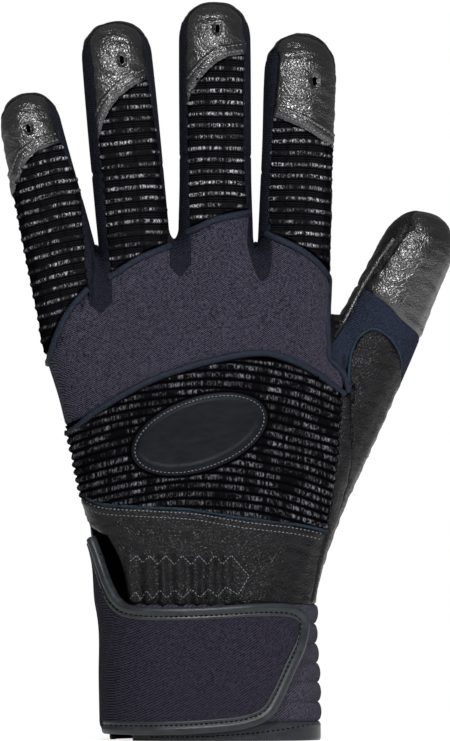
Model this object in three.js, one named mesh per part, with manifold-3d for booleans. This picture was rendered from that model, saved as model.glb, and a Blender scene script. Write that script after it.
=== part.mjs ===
// A left-hand batting glove in its worn shape: fingertips up, thumb towards +X, back of the hand towards -Y.
// Every panel is a cut piece of leather or knit laid on one hand-shaped surface and given its own thickness.
import * as THREE from 'three';
import { mergeVertices } from 'three/addons/utils/BufferGeometryUtils.js';
import Module from 'manifold-3d';

const wasm = await Module();
wasm.setup();

// Driving sizes of the whole glove, in millimetres
const gloveLength = 236;
const gloveSpan = 143;
const cuffDepth = 46;

// Cloth and leather thicknesses
const leather = 1.1;
const knit = 1.5;
const ribKnit = 1.4;
const ribRise = 0.8;
const neoprene = 1.8;
const padThickness = 1.2;
const elasticThickness = 0.9;
const tapeThickness = 0.6;

// Seams, cords and clearances
const seamGap = 0.6;
const restGap = 0.3;
const layerGap = 0.35;
const pipingDiameter = 2.2;
const edgeRollRise = 0.6;
const bindingDiameter = 2.6;
const hingeClearance = 0.4;

// Ribs of the knit, rolls of the cuff, vents of the fingertips
const fingerRibPitch = 3.65;
const handRibPitch = 2.75;
const cuffRollPitch = 6.2;
const cuffRollRise = 0.9;
const ventLength = 2.8;
const ventWidth = 1.3;

// The outlines are drawn in the 450 by 741 frame of the front view and scaled to the glove's real size.
const frameLeftPixel = 1;
const frameRightPixel = 448;
const frameTopPixel = 1.5;
const frameFootPixel = 739.5;
const acrossScale = gloveSpan / (frameRightPixel - frameLeftPixel);
const upScale = gloveLength / (frameFootPixel - frameTopPixel);
const across = (pixel) => (pixel - (frameLeftPixel + frameRightPixel) / 2) * acrossScale;
const up = (pixel) => (frameFootPixel - pixel) * upScale;
const flat = ([pixelX, pixelY]) => new THREE.Vector2(across(pixelX), up(pixelY));

// A smooth value along evenly spaced stations, at a share from 0 to 1
function along(stations, share) {
  const last = stations.length - 1;
  const place = Math.min(Math.max(share, 0), 1) * last;
  const i = Math.min(Math.floor(place), last - 1);
  const t = place - i;
  const [a, b, c, d] = [i - 1, i, i + 1, i + 2].map((k) => stations[Math.min(Math.max(k, 0), last)]);
  return b + 0.5 * t * (c - a + t * (2 * a - 5 * b + 4 * c - d + t * (3 * (b - c) + d - a)));
}

// A smooth curve in the front view through outline points
function outline(pixels) {
  const points = pixels.map(flat).map((p) => new THREE.Vector3(p.x, 0, p.y));
  const curve = new THREE.CatmullRomCurve3(points, false, 'centripetal');
  return (share) => {
    const p = curve.getPointAt(Math.min(Math.max(share, 0), 1));
    return new THREE.Vector2(p.x, p.z);
  };
}

// Digits: root and tip of the axis, half widths from root to tip, depths as shares of the cuff's depth
const fingerDepthShares = [0.262, 0.25, 0.24, 0.235, 0.225, 0.21];
const fingerCurlShares = [0, 0.0, 0.01, 0.03, 0.07, 0.13];
const fingerEndShare = 0.13;
const fingerFullness = 2.2;
const digitDrawings = {
  little: {
    rootPixels: [77, 322], tipPixels: [23.5, 93], halfWidthPixels: [37, 36, 34.5, 32.5, 30.5, 29.5],
    depthShares: fingerDepthShares.map((share) => share * 0.9), curlShares: fingerCurlShares, endShare: 0.15,
  },
  ring: {
    rootPixels: [140, 305], tipPixels: [113.5, 21], halfWidthPixels: [36, 36, 36, 36, 35.5, 34.5],
    depthShares: fingerDepthShares, curlShares: fingerCurlShares, endShare: fingerEndShare,
  },
  middle: {
    rootPixels: [216, 300], tipPixels: [214.5, 1.5], halfWidthPixels: [37.5, 37.5, 36, 36, 36, 35.5],
    depthShares: fingerDepthShares, curlShares: fingerCurlShares, endShare: fingerEndShare,
  },
  index: {
    rootPixels: [292, 305], tipPixels: [301.5, 33], halfWidthPixels: [36.5, 36.5, 36, 35.5, 36, 35],
    depthShares: fingerDepthShares, curlShares: fingerCurlShares, endShare: 0.15,
  },
  thumb: {
    rootPixels: [294, 512.6], tipPixels: [433.5, 213.5], halfWidthPixels: [42, 43.5, 43, 41.5, 37.5, 36.5],
    depthShares: [0.33, 0.33, 0.3, 0.27, 0.25, 0.225], curlShares: [0.13, 0.15, 0.18, 0.2, 0.23, 0.26], endShare: 0.15,
  },
};

class Digit {
  constructor(drawing) {
    this.root = flat(drawing.rootPixels);
    const tip = flat(drawing.tipPixels);
    this.length = tip.distanceTo(this.root);
    this.way = tip.clone().sub(this.root).normalize();
    this.side = new THREE.Vector2(this.way.y, -this.way.x);
    this.widths = drawing.halfWidthPixels.map((pixels) => pixels * acrossScale);
    this.depths = drawing.depthShares.map((share) => share * cuffDepth);
    this.curls = drawing.curlShares.map((share) => share * cuffDepth);
    this.endLength = drawing.endShare * this.length;
  }
  halfWidth(s) { return along(this.widths, s / this.length); }
  halfDepth(s) { return along(this.depths, s / this.length); }
  middle(s) { return along(this.curls, s / this.length); }
  // The front-view place of a point at s along the axis and u across it
  flatPoint(s, u) {
    return this.root.clone().addScaledVector(this.way, s).addScaledVector(this.side, u);
  }
  local(x, z) {
    const d = new THREE.Vector2(x, z).sub(this.root);
    return [d.dot(this.way), d.dot(this.side)];
  }
  field(x, y, z) {
    const dx = x - this.root.x;
    const dz = z - this.root.y;
    const s = dx * this.way.x + dz * this.way.y;
    const u = dx * this.side.x + dz * this.side.y;
    const clamped = Math.min(Math.max(s, 0), this.length);
    const end = s < 0 ? -s / (2 * this.endLength) : (s - this.length + this.endLength) / this.endLength;
    const v = y - this.middle(clamped);
    return roundField(u, v, Math.max(end, 0), this.halfWidth(clamped), this.halfDepth(clamped), this.endLength,
      fingerFullness);
  }
  // A point of the digit's own surface: angle 0 faces the front, +90 degrees the thumb side
  seed(angle, s) {
    const tube = this.length - this.endLength;
    const end = Math.min(Math.max((s - tube) / this.endLength, 0), 1);
    const round = Math.sqrt(1 - end * end);
    const p = this.flatPoint(s, this.halfWidth(s) * Math.sin(angle) * round);
    return new THREE.Vector3(p.x, this.middle(s) - this.halfDepth(s) * Math.cos(angle) * round, p.y);
  }
}

// Signed distance, nearly, to a tube with a full oval section and a rounded end
function roundField(u, v, end, width, depth, endLength, fullness) {
  const a = Math.abs(u) / width + 1e-6;
  const b = Math.abs(v) / depth;
  const g = (a ** fullness + b ** fullness + end ** fullness) ** (1 / fullness);
  const slope = g ** (1 - fullness) * Math.hypot(
    a ** (fullness - 1) / width, b ** (fullness - 1) / depth, end ** (fullness - 1) / endLength);
  return (g - 1) / slope;
}

// The hand from the cuff rim to the knuckles: evenly spaced stations from the rim up
const bodyTopPixel = 259.5;
const bodyCentrePixels = [215, 214, 212, 209.5, 208, 204.5, 196.5, 188, 187];
const bodyHalfWidthPixels = [103, 103, 102, 113, 126, 135.5, 141.5, 143, 142];
const bodyDepthShares = [0.5, 0.478, 0.457, 0.424, 0.402, 0.37, 0.337, 0.297, 0.275];
const bodyFullness = 2.5;
const bodyEndPixels = 46;
const bodyCrownPixels = [300, 262, 246, 243, 246, 258, 290];
const bodyStationLength = up(bodyTopPixel);
const bodyCentres = bodyCentrePixels.map(across);
const bodyWidths = bodyHalfWidthPixels.map((pixels) => pixels * acrossScale);
const bodyDepths = bodyDepthShares.map((share) => share * cuffDepth);
const bodyEnd = bodyEndPixels * upScale;
const bodyCrowns = bodyCrownPixels.map(up);
const body = {
  centre: (z) => along(bodyCentres, z / bodyStationLength),
  halfWidth: (z) => along(bodyWidths, z / bodyStationLength),
  halfDepth: (z) => along(bodyDepths, z / bodyStationLength),
  field(x, y, z) {
    const width = this.halfWidth(z);
    const offset = x - this.centre(z);
    const crown = along(bodyCrowns, 0.5 + offset / (2 * width));
    const end = Math.max((z - crown + bodyEnd) / bodyEnd, 0);
    return roundField(offset, y, end, width, this.halfDepth(z), bodyEnd, bodyFullness);
  },
  seed(angle, z) {
    const power = 2 / bodyFullness;
    const side = Math.sign(Math.sin(angle)) * Math.abs(Math.sin(angle)) ** power;
    const front = Math.sign(Math.cos(angle)) * Math.abs(Math.cos(angle)) ** power;
    return new THREE.Vector3(this.centre(z) + this.halfWidth(z) * side, -this.halfDepth(z) * front, z);
  },
};

const digits = Object.fromEntries(Object.entries(digitDrawings).map(([name, d]) => [name, new Digit(d)]));
const fingers = [digits.little, digits.ring, digits.middle, digits.index];

// The worn hand shape: digits and hand flow into each other over these blend lengths
const fingerBlend = 1.0;
const knuckleBlend = 5;
const thumbBlend = 7;
function softMin(a, b, blend) {
  const h = Math.max(blend - Math.abs(a - b), 0) / blend;
  return Math.min(a, b) - h * h * blend / 4;
}
function field(x, y, z) {
  let value = fingers[0].field(x, y, z);
  for (const finger of fingers.slice(1)) value = softMin(value, finger.field(x, y, z), fingerBlend);
  value = softMin(value, body.field(x, y, z), knuckleBlend);
  return softMin(value, digits.thumb.field(x, y, z), thumbBlend);
}
const probe = 0.05;
function slopeAt(p) {
  return new THREE.Vector3(
    field(p.x + probe, p.y, p.z) - field(p.x - probe, p.y, p.z),
    field(p.x, p.y + probe, p.z) - field(p.x, p.y - probe, p.z),
    field(p.x, p.y, p.z + probe) - field(p.x, p.y, p.z - probe),
  ).divideScalar(2 * probe);
}
// Moves a point straight onto the hand surface
function settle(p) {
  const q = p.clone();
  for (let i = 0; i < 8; i++) {
    const slope = slopeAt(q);
    q.addScaledVector(slope, -field(q.x, q.y, q.z) / Math.max(slope.lengthSq(), 0.05));
  }
  return q;
}
// The hand surface as seen at a front-view place, from the front (-1) or from the palm side (+1)
const searchStep = 1;
function seen(place, side) {
  const reach = cuffDepth;
  let best = Infinity;
  let nearest = 0;
  for (let y = side * reach; Math.abs(y) <= reach; y -= side * searchStep) {
    const value = field(place.x, y, place.y);
    if (value < 0) {
      let [outside, inside] = [y + side * searchStep, y];
      for (let i = 0; i < 24; i++) {
        const half = (outside + inside) / 2;
        if (field(place.x, half, place.y) < 0) inside = half;
        else outside = half;
      }
      return new THREE.Vector3(place.x, inside, place.y);
    }
    if (value < best) [best, nearest] = [value, y];
  }
  return settle(new THREE.Vector3(place.x, nearest, place.y));
}

// Cloth sheets: points on the hand surface and the quads between them
function sheet(columns, rows, place) {
  const points = [];
  const quads = [];
  for (let j = 0; j <= rows; j++) {
    for (let i = 0; i <= columns; i++) points.push(place(i / columns, j / rows));
  }
  const at = (i, j) => j * (columns + 1) + i;
  for (let j = 0; j < rows; j++) {
    for (let i = 0; i < columns; i++) quads.push([at(i, j), at(i + 1, j), at(i + 1, j + 1), at(i, j + 1)]);
  }
  return welded([{ points, quads }]);
}
const weldGrain = 1e-2;
function welded(sheets) {
  const points = [];
  const quads = [];
  const known = new Map();
  for (const part of sheets) {
    const index = part.points.map((p) => {
      const key = [p.x, p.y, p.z].map((c) => Math.round(c / weldGrain)).join();
      if (!known.has(key)) known.set(key, points.push(p) - 1);
      return known.get(key);
    });
    for (const quad of part.quads) {
      const corners = quad.map((k) => index[k]).filter((k, i, all) => k !== all[(i + 3) % 4]);
      if (corners.length > 2) quads.push(corners);
    }
  }
  return { points, quads };
}
function borders(quads) {
  const edges = new Map();
  quads.forEach((quad, q) => quad.forEach((a, i) => {
    const b = quad[(i + 1) % quad.length];
    if (edges.has(b + '_' + a)) edges.delete(b + '_' + a);
    else edges.set(a + '_' + b, { a, b, q });
  }));
  return [...edges.values()];
}
// How far a corner moves along the inward directions of its two edges, so both edges move by their own amounts
const bluntCosine = 0.7;
function cornerShares(cosine, a, b) {
  if (cosine > bluntCosine) return [a / (1 + cosine), b / (1 + cosine)];
  const c = Math.max(cosine, -bluntCosine);
  return [(a - c * b) / (1 - c * c), (b - c * a) / (1 - c * c)];
}
// Draws the sheet's border in by the seam allowance, measured square to each border edge
function drawnIn({ points, quads }, allowance) {
  const shift = new Map();
  let turn = 0;
  const edges = borders(quads).map(({ a, b, q }) => {
    const middle = points[a].clone().add(points[b]).divideScalar(2);
    const centre = quads[q].reduce((sum, k) => sum.add(points[k]), new THREE.Vector3()).divideScalar(quads[q].length);
    const inward = slopeAt(middle).cross(points[b].clone().sub(points[a])).normalize();
    turn += Math.sign(inward.dot(centre.sub(middle)));
    return { a, b, inward, amount: allowance(middle) };
  });
  for (const { a, b, inward, amount } of edges) {
    inward.multiplyScalar(Math.sign(turn));
    for (const k of [a, b]) shift.set(k, [...(shift.get(k) ?? []), { inward, amount }]);
  }
  const moved = points.map((p) => p.clone());
  for (const [k, [first, second]] of shift) {
    if (!second) continue;
    const [a, b] = cornerShares(first.inward.dot(second.inward), first.amount, second.amount);
    moved[k].addScaledVector(first.inward, a).addScaledVector(second.inward, b);
  }
  return { points: moved, quads };
}

// Smooths out the quads that the drawn-in border has folded over: each of their inner points moves between the two
// opposite neighbours that are closer together. Each quad then starts at its most hollow corner, where it is split.
const easePasses = 30;
const easeShare = 0.5;
const foldCosine = 0.15;
function unfolded({ points, quads }) {
  const moved = points.map((p) => p.clone());
  const shared = points.map(() => new Map());
  for (const quad of quads) {
    quad.forEach((k, i) => {
      const [back, ahead] = [quad.at(i - 1), quad[(i + 1) % quad.length]];
      shared[k].set(back, [...(shared[k].get(back) ?? []), ahead]);
      shared[k].set(ahead, [...(shared[k].get(ahead) ?? []), back]);
    });
  }
  const onBorder = new Set(borders(quads).flatMap(({ a, b }) => [a, b]));
  const cosine = (k, ahead, back) => moved[ahead].clone().sub(moved[k]).cross(moved[back].clone().sub(moved[k])).normalize()
    .dot(slopeAt(moved[k]).normalize());
  const corners = (quad) => quad.map((k, i) => cosine(k, quad[(i + 1) % quad.length], quad.at(i - 1)));
  const facing = Math.sign(quads.reduce((sum, quad) => sum + corners(quad)[0], 0));
  const fanned = (quad) => {
    const shares = corners(quad).map((c) => facing * c);
    const hollow = shares.indexOf(Math.min(...shares));
    return [...quad.slice(hollow), ...quad.slice(0, hollow)];
  };
  const isFolded = (quad) => {
    const [k, ...rest] = fanned(quad);
    return rest.some((ahead, i) => i < rest.length - 1 && facing * cosine(k, ahead, rest[i + 1]) < foldCosine);
  };
  const between = (k) => {
    const near = [...shared[k].keys()];
    const pairs = near.flatMap((a, i) => near.slice(i + 1).filter((b) => !shared[k].get(a).includes(b)).map((b) => [a, b]));
    const lengths = pairs.map(([a, b]) => moved[a].distanceTo(moved[k]) + moved[b].distanceTo(moved[k]));
    const [a, b] = pairs[lengths.indexOf(Math.min(...lengths))];
    return moved[a].clone().lerp(moved[b], 0.5);
  };
  for (let pass = 0; pass < easePasses; pass++) {
    const folded = new Set(quads.filter(isFolded).flat());
    if (!folded.size) break;
    for (const k of folded) {
      if (!onBorder.has(k)) moved[k] = settle(moved[k].lerp(between(k), easeShare));
    }
  }
  return { points: moved, quads: quads.map(fanned) };
}

// Named places on the hand surface, by front-view pixel, by digit and by height on the hand
const degree = Math.PI / 180;
const front = ([x, y]) => seen(flat([x, y]), -1);
const palm = ([x, y]) => seen(flat([x, y]), 1);
const onDigit = (digit, angle, s) => settle(digit.seed(angle * degree, s));
const onBody = (angle, pixelY) => settle(body.seed(angle * degree, up(pixelY)));

// Points evenly spaced along a seam that runs over the surface through the given points
function seam(points, segments) {
  const curve = new THREE.CatmullRomCurve3(points, false, 'centripetal');
  return Array.from({ length: segments + 1 }, (_, i) => {
    if (i === 0) return points[0];
    return i === segments ? points.at(-1) : settle(curve.getPointAt(i / segments));
  });
}
const straight = (a, b, segments) => Array.from({ length: segments + 1 }, (_, i) => a.clone().lerp(b, i / segments));
const chain = (...lines) => lines.flatMap((line, i) => (i ? line.slice(1) : line));
const reversed = (line) => [...line].reverse();

// A cloth sheet lofted between guide seams, with its foot and head fitted to the seams there; the fitting fades
// away from the foot and the head, faster with a higher power
function loft(guides, spans, foot, head, fade = 1) {
  const rows = guides[0].length - 1;
  const grid = [];
  for (let j = 0; j <= rows; j++) {
    const across = new THREE.CatmullRomCurve3(guides.map((guide) => guide[j]), false, 'centripetal');
    const row = [];
    spans.forEach((span, k) => {
      for (let i = 0; i < span; i++) row.push(across.getPoint((k + i / span) / spans.length));
    });
    grid.push([...row, guides.at(-1)[j].clone()]);
  }
  const columns = grid[0].length - 1;
  const last = grid[rows].map((p) => p.clone());
  const first = grid[0].map((p) => p.clone());
  return sheet(columns, rows, (a, b) => {
    const i = Math.round(a * columns);
    const j = Math.round(b * rows);
    if (j === 0) return foot[i];
    if (j === rows) return head[i];
    if (i === 0) return guides[0][j];
    if (i === columns) return guides.at(-1)[j];
    const p = grid[j][i].clone();
    p.addScaledVector(foot[i].clone().sub(first[i]), (1 - b) ** fade);
    p.addScaledVector(head[i].clone().sub(last[i]), b ** fade);
    return settle(p);
  });
}

// Seams of the back of the hand, as front-view pixels
const littlePipingPixels = [[50, 357], [56, 338], [68, 313], [87.5, 290]];
const ringPipingPixels = [[112, 276], [139, 259], [168, 246.5]];
const middlePipingPixels = [[190, 231.5], [219, 219], [249, 213]];
const indexPipingPixels = [[270.5, 236], [303, 252], [320, 266], [331, 283]];
const knucklePipingPixels = [[76, 428], [100, 409], [150, 381], [205, 362.5], [258, 353], [290, 360], [316, 373], [340, 391]];
const knuckleLowerPixels = [[81, 493], [101.6, 503.5], [193.5, 509.6], [244.5, 517.8], [295.5, 524], [327, 531]];
const tonguePixels = [
  { left: [89.6, 304], foot: [101, 314], right: [113, 302] },
  { left: [170, 266], foot: [180, 278], right: [191.5, 264] },
  { left: [253.5, 270], foot: [262, 283], right: [271.5, 270] },
];
const indexSeamPixels = [[331, 283], [328.6, 300], [328, 330], [329.5, 358]];
const crotchPipingPixels = [[329.5, 358], [337.5, 366], [344, 375], [348, 387]];
const edgeLeftPixels = [[341, 395], [338, 441], [334.5, 478], [327, 531]];
const edgeWristPixels = [[327, 531], [320.5, 553], [311, 604]];
const edgeRightPixels = [[350, 394], [351.5, 440], [350, 472], [342, 504], [331, 531]];
const slitPixels = [[85, 510], [113, 540], [126.5, 584], [127.5, 604]];
const wristY = 604;
const hemTopY = 721;
const rimY = frameFootPixel;

// How far round the little-finger edge and the right edge of the cuff the side seams lie, in degrees from the front
const sideAngle = 97;
const cuffSideAngle = 100;
const slitFrontAngle = -48;
const slitBackAngle = -93;

// Fingers: crease where each bends, the edges of its back panel, the seam of its cap, and its vent
const fingerDrawings = {
  little: {
    creaseShare: 0.51,
    right: [[87.5, 290], [84.5, 262], [83, 232], [81.5, 205], [77, 180], [66, 157], [59.5, 138], [54.5, 119], [48.5, 106]],
    capPixels: [[17, 199], [20.5, 176], [27, 159], [41, 149], [60, 142]], vent: [28.6, 128.6],
    webShares: [0.22, 0.31],
  },
  ring: {
    creaseShare: 0.475,
    left: [[112, 276], [107, 223], [104, 179], [99.5, 146], [96.5, 118], [93.5, 71], [90, 46]],
    right: [[168, 246.5], [167, 214], [161.6, 178], [157, 138], [151, 100], [146.4, 72], [143.5, 42]],
    capPixels: [[98.5, 141], [100, 130], [110.7, 107], [125, 91], [149, 77.5]], vent: [122, 60],
    webShares: [0.2, 0.29],
  },
  middle: {
    creaseShare: 0.486,
    left: [[190, 231.5], [189, 178], [187.5, 107], [186, 50], [187, 28]],
    right: [[249, 213], [246, 195], [244, 148], [244, 74], [244.5, 40], [242, 25]],
    capPixels: [[187.5, 105], [194, 87], [207, 70], [221.8, 58], [244, 53.5]], vent: [217.7, 28.7],
    webShares: [0.265, 0.23],
  },
  index: {
    creaseShare: 0.489,
    left: [[270.5, 236], [269, 203], [271.7, 148], [274.4, 111], [277.5, 74], [279, 58]],
    capPixels: [[274.2, 116], [299.5, 125.8], [318, 136.9], [333, 149]], vent: [314.8, 81.4],
    webShares: [0.24, 0.22],
  },
};
const palmEdgeAngle = 118;
const outerAngle = 76;

// The edge of a finger's back panel, as a place for each distance along the finger
function edgeOf(digit, pixels) {
  const line = outline(pixels);
  return (s) => {
    let [low, high] = [0, 1];
    for (let i = 0; i < 30; i++) {
      const half = (low + high) / 2;
      const p = line(half);
      if (digit.local(p.x, p.y)[0] < s) low = half;
      else high = half;
    }
    return seen(line(low), -1);
  };
}
const rowsAlong = (edge, from, to, rows) => Array.from({ length: rows + 1 }, (_, j) => edge(from + (to - from) * j / rows));
const alongOf = (digit, pixel) => digit.local(...flat(pixel).toArray())[0];

// Cords sewn into the seams, and the surface lines they follow; two of them start at the side seam
const sideStarts = ['little_piping', 'knuckle_piping'];
const pipingLines = {
  little_piping: littlePipingPixels,
  ring_piping: ringPipingPixels,
  middle_piping: middlePipingPixels,
  index_piping: indexPipingPixels,
  knuckle_piping: knucklePipingPixels,
  thumb_crotch_piping: crotchPipingPixels,
};
const pipingSteps = 12;
const sideSeam = (pixelY) => onBody(-sideAngle, pixelY);
const pipingCurves = Object.fromEntries(Object.entries(pipingLines).map(([name, pixels]) => {
  const points = pixels.map(front);
  if (sideStarts.includes(name)) points[0] = sideSeam(pixels[0][1]);
  return [name, seam(points, pipingSteps)];
}));
const nearPiping = 1.2;
const palmEase = 0.4;
const tipEase = 0.15;
const pipingClearance = pipingDiameter / 2 + restGap;
function seamAllowance(middle) {
  const segment = new THREE.Line3();
  const closest = new THREE.Vector3();
  for (const line of Object.values(pipingCurves)) {
    for (let i = 1; i < line.length; i++) {
      segment.set(line[i - 1], line[i]).closestPointToPoint(middle, true, closest);
      if (closest.distanceTo(middle) < nearPiping) return pipingClearance;
    }
  }
  return seamGap / 2;
}

const tipAllowance = (middle) => seamAllowance(middle) + tipEase;

// Gives a sheet its thickness: out by rise and in by depth from the hand surface
function thickened(cut, rise, depth, allowance = seamAllowance) {
  const { points, quads } = unfolded(drawnIn(cut, allowance));
  const count = points.length;
  const positions = [];
  const outer = points.map((p) => slopeAt(p).normalize());
  const valueOf = (size) => (typeof size === 'function' ? size : () => size);
  const [height, thickness] = [valueOf(rise), valueOf(depth)];
  const lifted = (p, i, lift) => {
    const q = p.clone().addScaledVector(outer[i], lift);
    if (p.z < probe) q.z = 0;
    positions.push(q.x, q.y, q.z);
  };
  points.forEach((p, i) => lifted(p, i, height(cut.points[i], i)));
  points.forEach((p, i) => lifted(p, i, -thickness(cut.points[i], i)));
  const faces = [];
  const add = (...corners) => {
    for (let i = 2; i < corners.length; i++) faces.push(corners[0], corners[i - 1], corners[i]);
  };
  for (const quad of quads) {
    add(...quad);
    const [first, ...rest] = quad.map((k) => k + count);
    add(first, ...rest.reverse());
  }
  for (const { a, b } of borders(quads)) add(b, a, a + count, b + count);
  return facingOut(positions, faces);
}
function facingOut(positions, faces) {
  const geometry = new THREE.BufferGeometry();
  geometry.setAttribute('position', new THREE.Float32BufferAttribute(positions, 3));
  const corner = (k) => new THREE.Vector3().fromArray(positions, 3 * k);
  let volume = 0;
  for (let i = 0; i < faces.length; i += 3) {
    volume += corner(faces[i]).dot(corner(faces[i + 1]).cross(corner(faces[i + 2])));
  }
  if (volume < 0) {
    for (let i = 0; i < faces.length; i += 3) [faces[i + 1], faces[i + 2]] = [faces[i + 2], faces[i + 1]];
  }
  geometry.setIndex(faces);
  geometry.computeVertexNormals();
  return geometry;
}

// Solids for boolean cuts
function solid(geometry) {
  const bare = geometry.index ? geometry.clone() : mergeVertices(geometry);
  bare.deleteAttribute('normal');
  bare.deleteAttribute('uv');
  const merged = mergeVertices(bare, 1e-4);
  return new wasm.Manifold(new wasm.Mesh({
    numProp: 3, vertProperties: merged.attributes.position.array, triVerts: new Uint32Array(merged.index.array),
  }));
}
function geometryOf(made) {
  const mesh = made.getMesh();
  const geometry = new THREE.BufferGeometry();
  geometry.setAttribute('position', new THREE.BufferAttribute(mesh.vertProperties, 3));
  geometry.setIndex(new THREE.BufferAttribute(mesh.triVerts, 1));
  geometry.computeVertexNormals();
  return geometry;
}

// Materials
const fabric = (color, roughness) => new THREE.MeshStandardMaterial({ color, roughness, metalness: 0 });
const materials = {
  leather: fabric(0x1b1b1d, 0.5),
  ribKnit: fabric(0x121214, 0.85),
  navyKnit: fabric(0x252433, 0.95),
  navyCord: fabric(0x20232f, 0.8),
  binding: fabric(0x26282c, 0.6),
  tape: fabric(0x101013, 1),
};

const glove = new THREE.Group();
function add(name, geometry, material) {
  const mesh = new THREE.Mesh(geometry, material);
  mesh.name = name;
  glove.add(mesh);
}

// A round cord through surface points, ended one diameter short, its middle lifted off the surface by a height
const cordSides = 6;
function cord(points, diameter, lift) {
  const raised = points.map((p) => p.clone().addScaledVector(slopeAt(p).normalize(), lift(p)));
  const whole = new THREE.CatmullRomCurve3(raised, false, 'centripetal');
  const trim = diameter / whole.getLength();
  const kept = points.map((p, i) => whole.getPointAt(trim + (1 - 2 * trim) * i / (points.length - 1)));
  const path = new THREE.CatmullRomCurve3(kept, false, 'centripetal');
  const section = new THREE.Shape();
  section.absarc(0, 0, diameter / 2, 0, 2 * Math.PI);
  return new THREE.ExtrudeGeometry(section, {
    steps: points.length - 1, bevelEnabled: false, extrudePath: path, curveSegments: cordSides / 2,
  });
}
// A blade that cuts straight through a panel, drawn as a front-view outline
const bladeReach = cuffDepth;
function blade(places) {
  const shape = new THREE.Shape(places);
  const geometry = new THREE.ExtrudeGeometry(shape, { depth: 2 * bladeReach, bevelEnabled: false });
  return geometry.translate(0, 0, -bladeReach).rotateX(Math.PI / 2);
}

// A front-view line moved square to itself, down from its own left-to-right run
function shifted(places, distance) {
  return places.map((p, i) => {
    const run = places[Math.min(i + 1, places.length - 1)].clone().sub(places[Math.max(i - 1, 0)]).normalize();
    return new THREE.Vector2(p.x + run.y * distance, p.y - run.x * distance);
  });
}

// The wavy rise of ribs laid one after another along a distance
const ribSteps = 2;
const ribColumns = 3;
const ribWave = (distance, pitch) => Math.sin(Math.PI * ((distance / pitch) % 1));

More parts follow.
